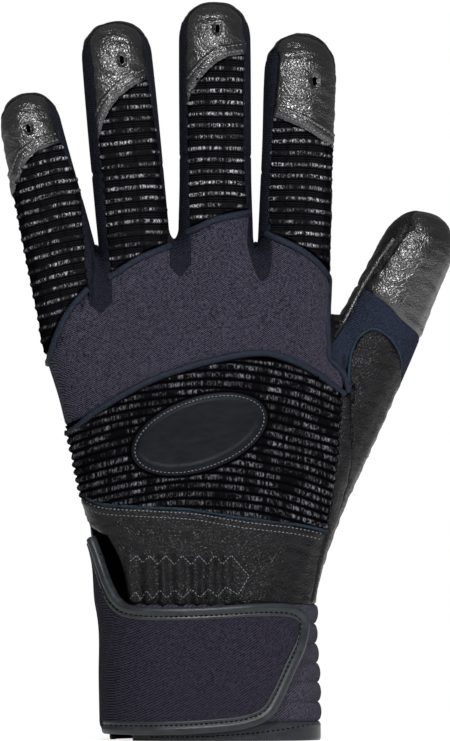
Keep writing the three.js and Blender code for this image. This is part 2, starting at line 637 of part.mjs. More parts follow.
// Finger panels
const fingerColumns = 4;
const stripColumns = 2;
const ridgeForwardShare = 0.45;
const creaseRows = 4;
const capSeamGap = 1.05;
const tipFade = 3;
const proximal = {};
function makeFinger(name, drawing) {
  const digit = digits[name];
  const crease = drawing.creaseShare * digit.length;
  const left = drawing.left ? edgeOf(digit, drawing.left) : (s) => onDigit(digit, -90, s);
  const right = drawing.right ? edgeOf(digit, drawing.right) : (s) => onDigit(digit, outerAngle, s);
  const palmLeft = drawing.left ? (s) => onDigit(digit, -palmEdgeAngle, s) : left;
  const palmRight = drawing.right ? (s) => onDigit(digit, palmEdgeAngle, s) : right;
  const shoulder = {
    left: drawing.left ? alongOf(digit, drawing.left.at(-1)) : digit.length - digit.endLength,
    right: drawing.right ? alongOf(digit, drawing.right.at(-1)) : digit.length - digit.endLength,
  };
  const middle = (s) => onDigit(digit, 0, s);
  const piping = pipingCurves[name + '_piping'];
  const creaseFront = seam([left(crease), middle(crease), right(crease)], ribColumns);

  // The ribbed back panel, parted at the crease, starts above the piping
  const start = digit.local(piping[0].x, piping[0].z);
  const end = digit.local(piping.at(-1).x, piping.at(-1).z);
  const climb = pipingClearance * Math.hypot(end[0] - start[0], end[1] - start[1]) / Math.abs(end[1] - start[1]);
  const ribCount = Math.round((crease - (start[0] + end[0]) / 2) / fingerRibPitch);
  const lowerLeft = rowsAlong(left, start[0] + climb, crease, ribSteps * ribCount);
  const lowerRight = rowsAlong(right, end[0] + climb, crease, ribSteps * ribCount);
  const raised = piping.slice(1, -1).map((p) => settle(new THREE.Vector3(
    p.x + climb * digit.way.x, p.y, p.z + climb * digit.way.y)));
  const foot = seam([lowerLeft[0], ...raised, lowerRight[0]], ribColumns);
  const lower = loft([lowerLeft, lowerRight], [ribColumns], foot, creaseFront);
  const ribs = (p, index) => ribRise * ribWave(Math.floor(index / (ribColumns + 1)) / ribSteps, 1);
  add(name + '_rib_lower', thickened(lower, ribs, ribKnit), materials.ribKnit);

  const capLine = drawing.capPixels;
  const capTop = Math.max(alongOf(digit, capLine[0]), alongOf(digit, capLine.at(-1)));
  const upperRows = ribSteps * Math.ceil((capTop - crease) / fingerRibPitch + 0.2);
  const upperEnd = crease + upperRows / ribSteps * fingerRibPitch;
  const upper = loft(
    [rowsAlong(left, crease, upperEnd, upperRows), rowsAlong(right, crease, upperEnd, upperRows)], [ribColumns],
    creaseFront, seam([left(upperEnd), middle(upperEnd), right(upperEnd)], ribColumns));
  const capSeam = outline(capLine);
  const capRows = 6;
  const sideSeamOf = (edge, end, top) => chain(
    rowsAlong(edge, crease, alongOf(digit, end), creaseRows), rowsAlong(edge, alongOf(digit, end), top, capRows));
  const leftEdge = sideSeamOf(left, capLine[0], shoulder.left);
  const rightEdge = sideSeamOf(right, capLine.at(-1), shoulder.right);
  const capInner = [0.25, 0.5, 0.75].map((share) => seen(capSeam(share), -1));
  const capFoot = seam([leftEdge[creaseRows], ...capInner, rightEdge[creaseRows]], 2 * fingerColumns);
  const seamPlaces = shifted(capFoot.map((p) => new THREE.Vector2(p.x, p.z)), capSeamGap);
  const beyond = digit.length;
  const above = [
    seamPlaces.at(-1).clone().addScaledVector(digit.side, beyond),
    seamPlaces.at(-1).clone().addScaledVector(digit.side, beyond).addScaledVector(digit.way, beyond),
    seamPlaces[0].clone().addScaledVector(digit.side, -beyond).addScaledVector(digit.way, beyond),
    seamPlaces[0].clone().addScaledVector(digit.side, -beyond),
  ];
  const upperSolid = solid(thickened(upper, ribs, ribKnit));
  add(name + '_rib_upper', geometryOf(upperSolid.subtract(solid(blade([...seamPlaces, ...above])))), materials.ribKnit);

  // The leather cap over the fingertip, with its vent
  const tipAt = (turn) => {
    const s = digit.length - digit.endLength * (1 - Math.sin(turn * degree));
    const p = digit.flatPoint(s, -digit.halfWidth(s) * Math.cos(turn * degree));
    return settle(new THREE.Vector3(p.x, digit.middle(s) - ridgeForwardShare * digit.halfDepth(s), p.y));
  };
  const tipLeft = left(shoulder.left);
  const tipRight = right(shoulder.right);
  const ridge = seam([tipLeft, tipAt(45), tipAt(90), tipAt(135), tipRight], 2 * fingerColumns);
  const capMiddle = seam([capFoot[fingerColumns], seen(flat(drawing.vent), -1), ridge[fingerColumns]], capRows);
  const cap = loft([leftEdge.slice(creaseRows), capMiddle, rightEdge.slice(creaseRows)], [fingerColumns, fingerColumns],
    capFoot, ridge, tipFade);
  const vent = new THREE.Shape();
  vent.absarc(0, (ventLength - ventWidth) / 2, ventWidth / 2, 0, Math.PI);
  vent.absarc(0, (ventWidth - ventLength) / 2, ventWidth / 2, Math.PI, 2 * Math.PI);
  const slot = new THREE.ExtrudeGeometry(vent, { depth: bladeReach, bevelEnabled: false, curveSegments: 4 });
  slot.rotateX(Math.PI / 2).rotateY(Math.atan2(digit.way.x, digit.way.y));
  const place = flat(drawing.vent);
  slot.translate(place.x, 0, place.y);
  add(name + '_cap', geometryOf(solid(thickened(cap, 0, leather, tipAllowance)).subtract(solid(slot))), materials.leather);

  // The leather of the palm side, from the crease to the fingertip
  const rows = creaseRows + capRows;
  const tip = digit.length - digit.endLength;
  const half = (crease + tip) / 2;
  const palmMiddle = (s) => onDigit(digit, 180, s);
  const first = drawing.left ? 1 : 0;
  const last = 2 * fingerColumns - (drawing.right ? 1 : 0);
  const spans = [fingerColumns - first, last - fingerColumns];
  const creasePalm = chain(
    seam([palmLeft(crease), onDigit(digit, -150, crease), palmMiddle(crease)], spans[0]),
    seam([palmMiddle(crease), onDigit(digit, 150, crease), palmRight(crease)], spans[1]));
  const upperPalm = { left: leftEdge, right: rightEdge };
  if (drawing.left) upperPalm.left = seam([palmLeft(crease), palmLeft(half), palmLeft(tip - leather), ridge[first]], rows);
  if (drawing.right) upperPalm.right = seam([palmRight(crease), palmRight(half), palmRight(tip - leather), ridge[last]], rows);
  const palmLine = seam([palmMiddle(crease), palmMiddle(half), palmMiddle(tip), ridge[fingerColumns]], rows);
  const palmSheet = loft([upperPalm.left, palmLine, upperPalm.right], spans, creasePalm, ridge.slice(first, last + 1),
    tipFade);
  add(name + '_palm_upper', thickened(palmSheet, 0, leather, tipAllowance), materials.leather);

  // The narrow knit strips along its sides, from the crease to the fingertip
  for (const [side, edgeSeam, angle] of [['left', leftEdge, -90], ['right', rightEdge, 90]]) {
    if (!drawing[side]) continue;
    const head = straight(edgeSeam.at(-1), upperPalm[side].at(-1), stripColumns);
    const creaseSide = seam([edgeSeam[0], onDigit(digit, angle, crease), upperPalm[side][0]], stripColumns);
    const strip = loft([edgeSeam, upperPalm[side]], [stripColumns], creaseSide, head);
    add(name + '_' + side + '_strip', thickened(strip, 0, knit, tipAllowance), materials.navyKnit);
  }
  proximal[name] = { digit, crease, left, right, palmLeft, palmRight, palmMiddle, creasePalm, spans, drawing };
}
for (const [name, drawing] of Object.entries(fingerDrawings)) makeFinger(name, drawing);

// Joins sheets that share seam points into one piece; a turned sheet has its quads the other way round
const joined = (...sheets) => welded(sheets);
const turned = ({ points, quads }) => ({ points, quads: quads.map((quad) => [...quad].reverse()) });

// The knit between two fingers: down one finger's side, over the web and up the next, with a tongue on the back
const webPixels = [[97, 262], [173, 237], [255, 248]];
const gapTopPixels = [[88, 200], [171, 190], [258, 200]];
const webPalmDrop = 14;
const edgeRows = 2;
const cornerRows = 2;
const tongueRows = 2;
const tongueLines = tonguePixels.map(({ left, foot, right }) => seam([left, foot, right].map(front), 2 * tongueRows));
const armRows = 3;
const webColumns = 4;
const webs = webPixels.map((pixel, k) => {
  const [leftName, rightName] = Object.keys(fingerDrawings).slice(k, k + 2);
  const [a, b] = [proximal[leftName], proximal[rightName]];
  const levelA = a.drawing.webShares[1] * a.digit.length;
  const levelB = b.drawing.webShares[0] * b.digit.length;
  const from = flat(gapTopPixels[k]);
  const to = flat([pixel[0], pixel[1] + webPalmDrop]);
  let [outside, inside] = [0, 1];
  const at = (share) => new THREE.Vector3(from.x + (to.x - from.x) * share, 0, from.y + (to.y - from.y) * share);
  for (let i = 0; i < 24; i++) {
    const half = (outside + inside) / 2;
    const p = at(half);
    if (field(p.x, p.y, p.z) < 0) inside = half;
    else outside = half;
  }
  const saddle = settle(at(inside));
  const palmEnd = palm([pixel[0], pixel[1] + webPalmDrop]);
  const side = (finger, angle, s) => onDigit(finger.digit, angle, s);
  const across = (finger, angle, s, edge, palmEdge) => seam([edge(s), side(finger, angle, s), palmEdge(s)], webColumns);
  const footFront = seam([tongueLines[k][tongueRows], saddle], webColumns / 2);
  const middleLine = chain(footFront, seam([saddle, palmEnd], webColumns / 2));
  const arm = (finger, angle, level, edge, palmEdge) => {
    const rows = (line) => rowsAlong(line, finger.crease, level, armRows);
    const guides = [rows(edge), rows((s) => side(finger, angle, s)), rows(palmEdge)];
    return loft(guides, [webColumns / 2, webColumns / 2], across(finger, angle, finger.crease, edge, palmEdge),
      across(finger, angle, level, edge, palmEdge));
  };
  const half = (finger, angle, level, edge, palmEdge, end, tongueLine) => {
    const from = finger.digit.local(end.x, end.z)[0];
    const frontLine = chain(rowsAlong(edge, level, from, edgeRows).slice(0, -1).concat(end),
      seam([end, tongueLine[0]], cornerRows), tongueLine);
    const rows = frontLine.length - 1;
    return loft([frontLine, seam([side(finger, angle, level), saddle], rows), straight(palmEdge(level), palmEnd, rows)],
      [webColumns / 2, webColumns / 2], across(finger, angle, level, edge, palmEdge), middleLine);
  };
  const endA = pipingCurves[leftName + '_piping'].at(-1);
  const endB = pipingCurves[rightName + '_piping'][0];
  const sheets = [
    arm(a, 90, levelA, a.right, a.palmRight), half(a, 90, levelA, a.right, a.palmRight, endA,
      tongueLines[k].slice(0, tongueRows + 1)),
    turned(half(b, -90, levelB, b.left, b.palmLeft, endB,
      reversed(tongueLines[k].slice(tongueRows)))),
    turned(arm(b, -90, levelB, b.left, b.palmLeft)),
  ];
  add(leftName + '_' + rightName + '_fourchette', thickened(joined(...sheets), 0, knit, (middle) =>
    seamAllowance(middle) + (middle.y > saddle.y ? palmEase : 0)), materials.navyKnit);
  return { levelA, levelB, palmEnd, saddle };
});

for (const [name, line] of Object.entries(pipingCurves)) {
  add(name, cord(line, pipingDiameter, () => -pipingDiameter / 6), materials.navyCord);
}

// The stretch panel over the knuckles, between the finger seams and the long curved piping
const pixelOf = ([x, y]) => front([x, y]);
const partColumns = 6;
const lowerPanelRows = 4;
const littleFootPixelY = 374;
const indexFootPixel = [328.6, 302];
const panelLines = [];
const between = Object.keys(fingerDrawings).map((name, k) => {
  const piping = pipingCurves[name + '_piping'];
  const leftCorner = k ? pixelOf(tonguePixels[k - 1].right) : sideSeam(littleFootPixelY);
  const rightCorner = k < 3 ? pixelOf(tonguePixels[k].left) : pixelOf(indexFootPixel);
  const level = seam([leftCorner, rightCorner], partColumns);
  panelLines.push(level);
  if (k < 3) panelLines.push(tongueLines[k]);
  return loft([seam([leftCorner, piping[0]], cornerRows), seam([rightCorner, piping.at(-1)], cornerRows)],
    [partColumns], level, piping.filter((p, i) => i % (pipingSteps / partColumns) === 0));
});
const knuckleLine = pipingCurves.knuckle_piping;
const panelHead = chain(...panelLines);
const indexSeam = seam([pixelOf(indexFootPixel), ...indexSeamPixels.slice(2).map(front)], 2);
const crotchLine = pipingCurves.thumb_crotch_piping;
const panelRight = chain([knuckleLine.at(-1), crotchLine[6]], [crotchLine[6], crotchLine[0]], reversed(indexSeam));
const panelLeft = seam([sideSeam(428), sideSeam(400), sideSeam(littleFootPixelY)], lowerPanelRows);
const panelBand = loft([panelLeft, panelRight], [panelHead.length - 1], seam(knuckleLine.filter((p, i) => i % 2 === 0),
  panelHead.length - 1), panelHead);
add('back_panel', thickened(joined(...between, panelBand), 0, knit, tipAllowance), materials.navyKnit);

// The ribbed knuckle panel, flat under the oval patch, cut along the curved piping
const ovalCentrePixels = [199.6, 434];
const ovalHalfWidth = 23;
const ovalHalfHeight = 12.2;
const ovalTilt = 19 * degree;
const ovalMarginShare = 1.15;
const ovalLift = 0.5;
const ovalShare = (place) => {
  const d = place.clone().sub(flat(ovalCentrePixels));
  const u = d.x * Math.cos(ovalTilt) + d.y * Math.sin(ovalTilt);
  const v = d.y * Math.cos(ovalTilt) - d.x * Math.sin(ovalTilt);
  return Math.hypot(u / ovalHalfWidth, v / ovalHalfHeight);
};
const knuckleTop = up(350);
const lowerLine = [sideSeam(493), ...knuckleLowerPixels.slice(1).map(front)];
const knuckleColumns = 8;
const knuckleFoot = seam(lowerLine, knuckleColumns);
const knuckleCount = Math.ceil((knuckleTop - up(knuckleLowerPixels[2][1])) / handRibPitch);
const knuckleRows = ribSteps * knuckleCount;
const knuckleSide = Array.from({ length: knuckleRows + 1 }, (_, j) =>
  onBody(-sideAngle, 493 - j * handRibPitch / ribSteps / upScale));
const weltUpPixels = [...reversed(edgeLeftPixels), [335, 374], [328, 350], [322, 330]];
const weltUp = outline(weltUpPixels);
const weltLength = knuckleRows * handRibPitch / ribSteps / (up(330) - up(531));
const knuckleWelt = Array.from({ length: knuckleRows + 1 }, (_, j) => seen(weltUp(j / knuckleRows * weltLength), -1));
const knuckleHead = seam([knuckleSide.at(-1), pixelOf([190, 355]), knuckleWelt.at(-1)], knuckleColumns);
knuckleFoot[knuckleColumns] = knuckleWelt[0];
const knuckleSheet = loft([knuckleSide, knuckleWelt], [knuckleColumns], knuckleFoot, knuckleHead);
const knuckleRibs = (p, index) => {
  const covered = ovalShare(new THREE.Vector2(p.x, p.z)) < ovalMarginShare ? 0 : 1;
  return covered * ribRise * ribWave(Math.floor(index / (knuckleColumns + 1)) / ribSteps, 1);
};
const kneeLine = shifted(knuckleLine.map((p) => new THREE.Vector2(p.x, p.z)), pipingClearance + tipEase);
kneeLine[0].y = Math.min(kneeLine[0].y, kneeLine[1].y) - 2 * restGap;
const far = gloveLength;
const knuckleBlade = blade([...kneeLine, new THREE.Vector2(far, kneeLine.at(-1).y), new THREE.Vector2(far, far),
  new THREE.Vector2(-far, far), new THREE.Vector2(-far, kneeLine[0].y)]);
add('knuckle_rib_panel', geometryOf(solid(thickened(knuckleSheet, knuckleRibs, ribKnit)).subtract(solid(knuckleBlade))),
  materials.ribKnit);

// The oval patch sewn over it, bare inside its rim
const ovalSpokes = 24;
const ovalRings = 3;
const ovalSheet = sheet(ovalSpokes, ovalRings, (a, b) => {
  const turn = 2 * Math.PI * a;
  const [u, v] = [ovalHalfWidth * b * Math.cos(turn), ovalHalfHeight * b * Math.sin(turn)];
  const centre = flat(ovalCentrePixels);
  return seen(new THREE.Vector2(
    centre.x + u * Math.cos(ovalTilt) - v * Math.sin(ovalTilt),
    centre.y + u * Math.sin(ovalTilt) + v * Math.cos(ovalTilt)), -1);
});
add('oval_patch', thickened(ovalSheet, ovalLift + padThickness, -ovalLift), materials.leather);

// The wrist leather below the knuckles, whose free edge is one side of the wrist slit
const wristColumns = 10;
const slitLine = seam([...reversed(slitPixels).slice(0, 3).map(front), sideSeam(510), sideSeam(493)], 6);
const wristWelt = seam(reversed(edgeWristPixels).map(front), 6);
wristWelt[6] = knuckleWelt[0];
const wristFoot = seam([slitLine[0], pixelOf([170, wristY]), pixelOf([250, wristY]), wristWelt[0]], wristColumns);
const wristSheet = loft([slitLine, wristWelt], [wristColumns], wristFoot, seam(knuckleFoot, wristColumns));
add('wrist_leather', thickened(wristSheet, 0, leather), materials.leather);

// The elastic gathered inside it
const elasticSheet = sheet(8, 3, (a, b) => pixelOf([134 + 112 * a, 600 - 44 * b]));
add('wrist_elastic', thickened(elasticSheet, -leather - restGap, leather + restGap + elasticThickness), materials.tape);

// Thumb lines: the crease at the stretch band, the side seam of the palm leather, and the crotch with the hand
const thumb = digits.thumb;
const thumbSideAngle = 105;
const thumbCreaseShares = { left: 0.705, right: 0.633 };
const baseTopShare = 0.45;
const baseTopPixels = [[347, 368], [352, 351.5], [358, 337], [372.6, 328.4], [387, 335.5], [396.5, 348], [402, 361], [402, 378]];
const capSeamPixels = [[363, 288], [376, 295.5], [391, 308], [402, 321], [408.5, 335.5]];
const crotchPixels = [335, 343];
const thenarPixels = [[303, 604], [288, 560], [280, 500], [286, 440], [306, 385]];
const thumbSide = (s) => onDigit(thumb, thumbSideAngle, s);
const baseRows = 8;
const bandRows = 3;
const crotch = settle(new THREE.Vector3(...[flat(crotchPixels)].flatMap((p) => [p.x, thumb.middle(0) / 2, p.y])));
const bandSide = seam([thumbSide(baseTopShare * thumb.length), thumbSide(thumbCreaseShares.right * thumb.length)], bandRows);
const thumbCreaseRight = bandSide.at(-1);
const capSeam = seam([...capSeamPixels.slice(0, -1).map(front), thumbCreaseRight], 6);
const leftOfThumb = seam([crotch, pixelOf([347, 320]), capSeam[0]], 4);
const baseCorner = crotchLine.at(-1);
const baseTop = seam([baseCorner, ...baseTopPixels.map(front), bandSide[0]], 12);
const sideRight = onBody(cuffSideAngle, wristY);
const baseSide = seam([sideRight, thumbSide(0.18 * thumb.length), thumbSide(0.32 * thumb.length), bandSide[0]], baseRows);

// The navy stretch band across the thumb, running down its inner side to the crotch
const bandTop = chain(seam([crotchLine[0], crotch], 2), leftOfThumb, capSeam);
const bandLeft = reversed(crotchLine).filter((p, i) => i % 5 === 0).slice(0, bandRows);
const bandSheet = loft([chain([...bandLeft, crotchLine[0]]), bandSide], [12], baseTop, bandTop);
add('thumb_stretch_band', thickened(bandSheet, 0, knit), materials.navyKnit);

// The leather over the base of the thumb, from the welt round to the palm side
const rollRight = seam([onBody(86, wristY), onBody(80, 572), ...reversed(edgeRightPixels).map(front)], baseRows - 1);
const baseWelt = [...rollRight, baseCorner];
const baseMiddle = seam([onBody(93, wristY), onDigit(thumb, 70, 0.15 * thumb.length), pixelOf([366, 420]), baseTop[6]],
  baseRows);
add('thumb_base_leather', thickened(loft([baseWelt, baseMiddle, baseSide], [6, 6],
  seam([baseWelt[0], onBody(93, wristY), sideRight], 12), baseTop), 0, leather, tipAllowance), materials.leather);

// The palm side of the thumb, from the wrist to its crease
const palmRows = 6;
const thenar = seam([...thenarPixels.map(palm), crotch], palmRows);
const thumbPalmLeft = chain(thenar, leftOfThumb);
const thumbPalmRight = chain(baseSide, seam([bandSide[0], thumbCreaseRight], thumbPalmLeft.length - 1 - baseRows));
const thumbBack = (share) => onDigit(thumb, 185, share * thumb.length);
const thumbPalmLine = seam([onBody(112, wristY), thumbBack(0.25), thumbBack(0.45), thumbBack(0.66)], thumbPalmLeft.length - 1);
const thumbPalmFoot = chain(seam([thenar[0], onBody(112, wristY)], 3), seam([onBody(112, wristY), sideRight], 3));
const thumbCreasePalm = chain(seam([capSeam[0], onDigit(thumb, 250, 0.7 * thumb.length), thumbBack(0.66)], 3),
  seam([thumbBack(0.66), onDigit(thumb, 140, 0.645 * thumb.length), thumbCreaseRight], 3));
add('thumb_palm_leather', thickened(loft([thumbPalmLeft, thumbPalmLine, thumbPalmRight], [3, 3], thumbPalmFoot,
  thumbCreasePalm), 0, leather), materials.leather);

// The two leather halves of the thumb tip
const thumbTipPixels = [[363, 288], [389, 257], [410, 226]];
const tipRows = 6;
const ridgeSlant = 0.5;
const thumbAllowance = (middle) => tipAllowance(middle) + tipEase;
const thumbEnd = thumb.length - thumb.endLength;
const tipLeft = seam([capSeam[0], ...thumbTipPixels.slice(1).map(front)], tipRows);
const tipRight = seam([thumbCreaseRight, thumbSide((thumbCreaseShares.right * thumb.length + thumbEnd) / 2),
  thumbSide(thumbEnd)], tipRows);
const thumbTop = (turn) => {
  const s = thumb.length - thumb.endLength * (1 - Math.sin(turn * degree));
  const p = thumb.flatPoint(s, -thumb.halfWidth(s) * Math.cos(turn * degree));
  return settle(new THREE.Vector3(p.x, thumb.middle(s) + ridgeSlant * thumb.halfDepth(s) * (turn / 90 - 1), p.y));
};
const thumbRidge = seam([tipLeft.at(-1), thumbTop(60), thumbTop(90), thumbTop(130), tipRight.at(-1)], 8);
const tipFront = seam([capSeam[3], onDigit(thumb, 20, 0.8 * thumb.length), thumbRidge[4]], tipRows);
add('thumb_tip_back', thickened(loft([tipLeft, tipFront, tipRight], [4, 4], seam(capSeam, 8), thumbRidge, tipFade), 0, leather, thumbAllowance),
  materials.leather);
const tipBack = seam([thumbBack(0.66), thumbBack(0.8), thumbRidge[4]], tipRows);
const tipPalmFoot = chain(seam(thumbCreasePalm.slice(0, 4), 4), seam(thumbCreasePalm.slice(3), 4));
add('thumb_tip_palm', thickened(loft([tipLeft, tipBack, tipRight], [4, 4], tipPalmFoot, thumbRidge, tipFade), 0, leather, thumbAllowance),
  materials.leather);

// The palm leather: from the wrist up, and the palm side of each finger as far as its crease
const crotchRows = 4;
const palmFade = 3;
const fingerNames = Object.keys(fingerDrawings);
const baseLevels = fingerNames.map((name, k) => {
  const { digit, drawing } = proximal[name];
  return [drawing.webShares[0] * digit.length, drawing.webShares[1] * digit.length];
});
const fingerFeet = fingerNames.map((name, k) => {
  const { digit, palmLeft, palmRight, spans } = proximal[name];
  const [low, high] = baseLevels[k];
  const middle = onDigit(digit, 180, (low + high) / 2);
  return chain(seam([palmLeft(low), middle], spans[0]), seam([middle, palmRight(high)], spans[1]));
});
const fingerSheets = fingerNames.map((name, k) => {
  const { crease, palmLeft, palmRight, creasePalm, spans } = proximal[name];
  const [low, high] = baseLevels[k];
  const middleLine = seam([fingerFeet[k][spans[0]], creasePalm[spans[0]]], armRows);
  return loft([rowsAlong(palmLeft, low, crease, armRows), middleLine, rowsAlong(palmRight, high, crease, armRows)],
    spans, fingerFeet[k], creasePalm);
});
const webEdge = (k) => chain(seam([fingerFeet[k].at(-1), webs[k].palmEnd], 1), seam([webs[k].palmEnd, fingerFeet[k + 1][0]], 1));
const palmHead = chain(fingerFeet[0], webEdge(0), fingerFeet[1], webEdge(1), fingerFeet[2], webEdge(2), fingerFeet[3]);
const palmColumns = palmHead.length - 1;
const crotchLevelPixels = [[95, 356], [150, 352], [210, 348], [270, 346], [320, 344]];
const palmSideLow = seam([sideSeam(wristY), sideSeam(545), sideSeam(485), sideSeam(425), sideSeam(365)], palmRows);
const crotchLevel = seam([palmSideLow.at(-1), ...crotchLevelPixels.map(palm), crotch], palmColumns);
const palmFoot = seam([palmSideLow[0], palm([150, wristY]), palm([230, wristY]), thenar[0]], palmColumns);
const palmLow = loft([palmSideLow, seam([palmFoot[9], palm([155, 480]), crotchLevel[9]], palmRows),
  seam([palmFoot[18], palm([222, 480]), crotchLevel[18]], palmRows), thenar],
  [9, 9, palmColumns - 18], palmFoot, crotchLevel, palmFade);
const littleSide = proximal.little.left;
const palmSideHigh = seam([palmSideLow.at(-1), littleSide(-4), littleSide(baseLevels[0][0])], crotchRows);
const palmSplits = [0, 9, 17, palmColumns - 4, palmColumns];
const highGuides = palmSplits.map((i) => seam([crotchLevel[i], palmHead[i]], crotchRows));
highGuides[0] = palmSideHigh;
const palmHigh = loft(highGuides, palmSplits.slice(1).map((i, k) => i - palmSplits[k]), crotchLevel, palmHead);
const indexRight = proximal.index.right;
const frontEdge = [...reversed(indexSeam), pipingCurves.index_piping.at(-1), indexRight(baseLevels[3][1])];
const stripHead = [palmHead.at(-1), frontEdge.at(-1)];
const sideStrip = loft([highGuides.at(-1), frontEdge], [1], [crotch, indexSeam.at(-1)], stripHead);
add('palm_leather', thickened(joined(palmLow, palmHigh, ...fingerSheets, sideStrip), 0, leather), materials.leather);

// The leather roll down the edge of the hand, between the knuckles and the thumb
const rollLeft = chain(seam(reversed(edgeWristPixels).map(front), 3), seam(reversed(edgeLeftPixels).map(front), 4));
const rollColumns = 3;
const rollSheet = loft([rollLeft, rollRight], [rollColumns], seam([rollLeft[0], rollRight[0]], rollColumns),
  seam([rollLeft.at(-1), rollRight.at(-1)], rollColumns));
const edgeRise = (p, index) => edgeRollRise * ribWave((index % (rollColumns + 1)) / rollColumns, 1);
add('edge_leather', thickened(rollSheet, edgeRise, leather), materials.leather);

// The cuff: smooth under the strap, channelled in level rolls where it shows, open at the slit on the
// little-finger side
const rollSteps = 2;
const rollCount = Math.round((up(wristY) - up(hemTopY)) / cuffRollPitch);
const cuffRows = rollSteps * rollCount;
const plainColumns = 6;
const rollStartAngle = 38;
const anchorEndAngle = 222;
const slitEnd = 360 + slitBackAngle;
const anglesBetween = (from, to, columns) => Array.from({ length: columns + 1 }, (_, i) => from + (to - from) * i / columns);
const cuffSheet = (angles) => sheet(angles.length - 1, cuffRows, (a, b) =>
  onBody(angles[Math.round(a * (angles.length - 1))], hemTopY + (wristY - hemTopY) * b));
const rollRise = (angles, isPlain) => (p, index) =>
  (isPlain(index % angles.length) ? 0 : cuffRollRise * ribWave(Math.floor(index / angles.length) / rollSteps, 1));
const backAngles = chain(anglesBetween(slitFrontAngle, rollStartAngle, plainColumns),
  anglesBetween(rollStartAngle, cuffSideAngle, 5));
add('cuff_back', thickened(cuffSheet(backAngles), rollRise(backAngles, (column) => column <= plainColumns), neoprene),
  materials.navyKnit);
const palmAngles = chain(anglesBetween(cuffSideAngle, anchorEndAngle, 9), anglesBetween(anchorEndAngle, slitEnd, 4));
add('cuff_palm', thickened(cuffSheet(palmAngles), rollRise(palmAngles, (column) => column >= 9), neoprene),
  materials.navyKnit);

// The binding round the rim, flat underneath
const hemOverlap = 0.9;
const hemColumns = 30;
const hemSheet = sheet(hemColumns, 1, (a, b) =>
  onBody(slitFrontAngle + (slitEnd - slitFrontAngle) * a, rimY + (hemTopY - rimY) * b));
const hemAllowance = (middle) => (middle.z < probe ? 0 : seamGap / 2);
add('hem_binding', thickened(hemSheet, hemOverlap, neoprene + hemOverlap, hemAllowance), materials.binding);

// The wrist strap: closed over the back of the wrist, folding open at the little-finger edge
const hookThickness = 0.7;
const loopThickness = 0.7;
const loopLift = layerGap;
const hookLift = loopLift + loopThickness + layerGap;
const strapLift = hookLift + hookThickness + layerGap;
const strapThickness = 1.6;
const foldPixels = [[106, 729], [102, 670], [99.5, 612], [98, 568]];
const strapFootPixels = [[106, 729], [184, 726], [251, 720], [266, 714]];
const strapEndPixels = [[266, 714], [285, 684], [302.5, 645], [305, 620]];
const strapHeadPixels = [[98, 568], [104, 581], [113, 592], [132, 607], [184, 611], [287, 605], [305, 620]];
const strapRows = 6;
const strapColumns = 12;
const tailFootPixelY = 604;
const tailTopPixelY = 556;
const strapLiftAt = (p) => strapLift + (layerGap - strapLift)
  * THREE.MathUtils.smoothstep(p.z, up(tailFootPixelY), up(tailTopPixelY));
const fold = seam(foldPixels.map(front), strapRows);
const strapFoot = seam([fold[0], ...strapFootPixels.slice(1).map(front)], strapColumns);
const strapEnd = seam([strapFoot.at(-1), ...strapEndPixels.slice(1).map(front)], strapRows);
const strapHead = seam([fold.at(-1), ...strapHeadPixels.slice(1, -1).map(front), strapEnd.at(-1)], strapColumns);
const bindingInset = bindingDiameter / 2 + 2 * restGap;
const isFold = (middle) => fold.some((p, i) => i && new THREE.Line3(fold[i - 1], p)
  .closestPointToPoint(middle, true, new THREE.Vector3()).distanceTo(middle) < hingeClearance);
const strapAllowance = (middle) => (isFold(middle) ? hingeClearance : bindingInset);
add('wrist_strap', thickened(loft([fold, strapEnd], [strapColumns], strapFoot, strapHead),
  (p) => strapLiftAt(p) + strapThickness, (p) => -strapLiftAt(p), strapAllowance), materials.navyKnit);
const bindingLine = chain(strapFoot, strapEnd, reversed(strapHead)).slice(1, -2);
add('strap_binding', cord(bindingLine, bindingDiameter, (p) => strapLiftAt(p) + strapThickness / 2), materials.binding);
const patch = (left, right, top, foot, columns, rows) => sheet(columns, rows, (a, b) =>
  pixelOf([left + (right - left) * a, foot + (top - foot) * b]));
add('strap_hook', thickened(patch(200, 266, 628, 696, 4, 3), hookLift + hookThickness, -hookLift), materials.tape);
add('cuff_loop', thickened(patch(150, 284, 622, 706, 8, 3), loopLift + loopThickness, -loopLift), materials.tape);

// The strap's sewn end, from the fold round to the palm side
const anchorColumns = 8;
const anchorLift = cuffRollRise + layerGap;
const anchorFar = seam([onBody(anchorEndAngle + 4, 716), onBody(anchorEndAngle + 4, 616)], strapRows);
const anchorFoot = seam([anchorFar[0], onBody(250, 722), fold[0]], anchorColumns);
const anchorHead = seam([anchorFar.at(-1), onBody(247, 592), onBody(260, 556), onBody(267, 543), fold.at(-1)], anchorColumns);
const anchorRise = (p, index) => {
  const share = index % (anchorColumns + 1) / anchorColumns;
  return anchorLift + (strapLiftAt(p) - anchorLift) * share;
};
add('strap_anchor', thickened(loft([anchorFar, fold], [anchorColumns], anchorFoot, anchorHead),
  (p, index) => anchorRise(p, index) + strapThickness, (p, index) => -anchorRise(p, index),
  (middle) => (isFold(middle) ? hingeClearance : bindingInset)), materials.navyKnit);

// The origin is the middle of the glove's footprint, at the rim it stands on
const extent = new THREE.Box3().setFromObject(glove, true);
for (const mesh of glove.children) {
  mesh.geometry.translate(-(extent.min.x + extent.max.x) / 2, -(extent.min.y + extent.max.y) / 2, -extent.min.z);
}

export default glove;
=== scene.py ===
import math

import bmesh
import bpy
import numpy as np
from mathutils import Matrix, Vector, kdtree
from mathutils.bvhtree import BVHTree


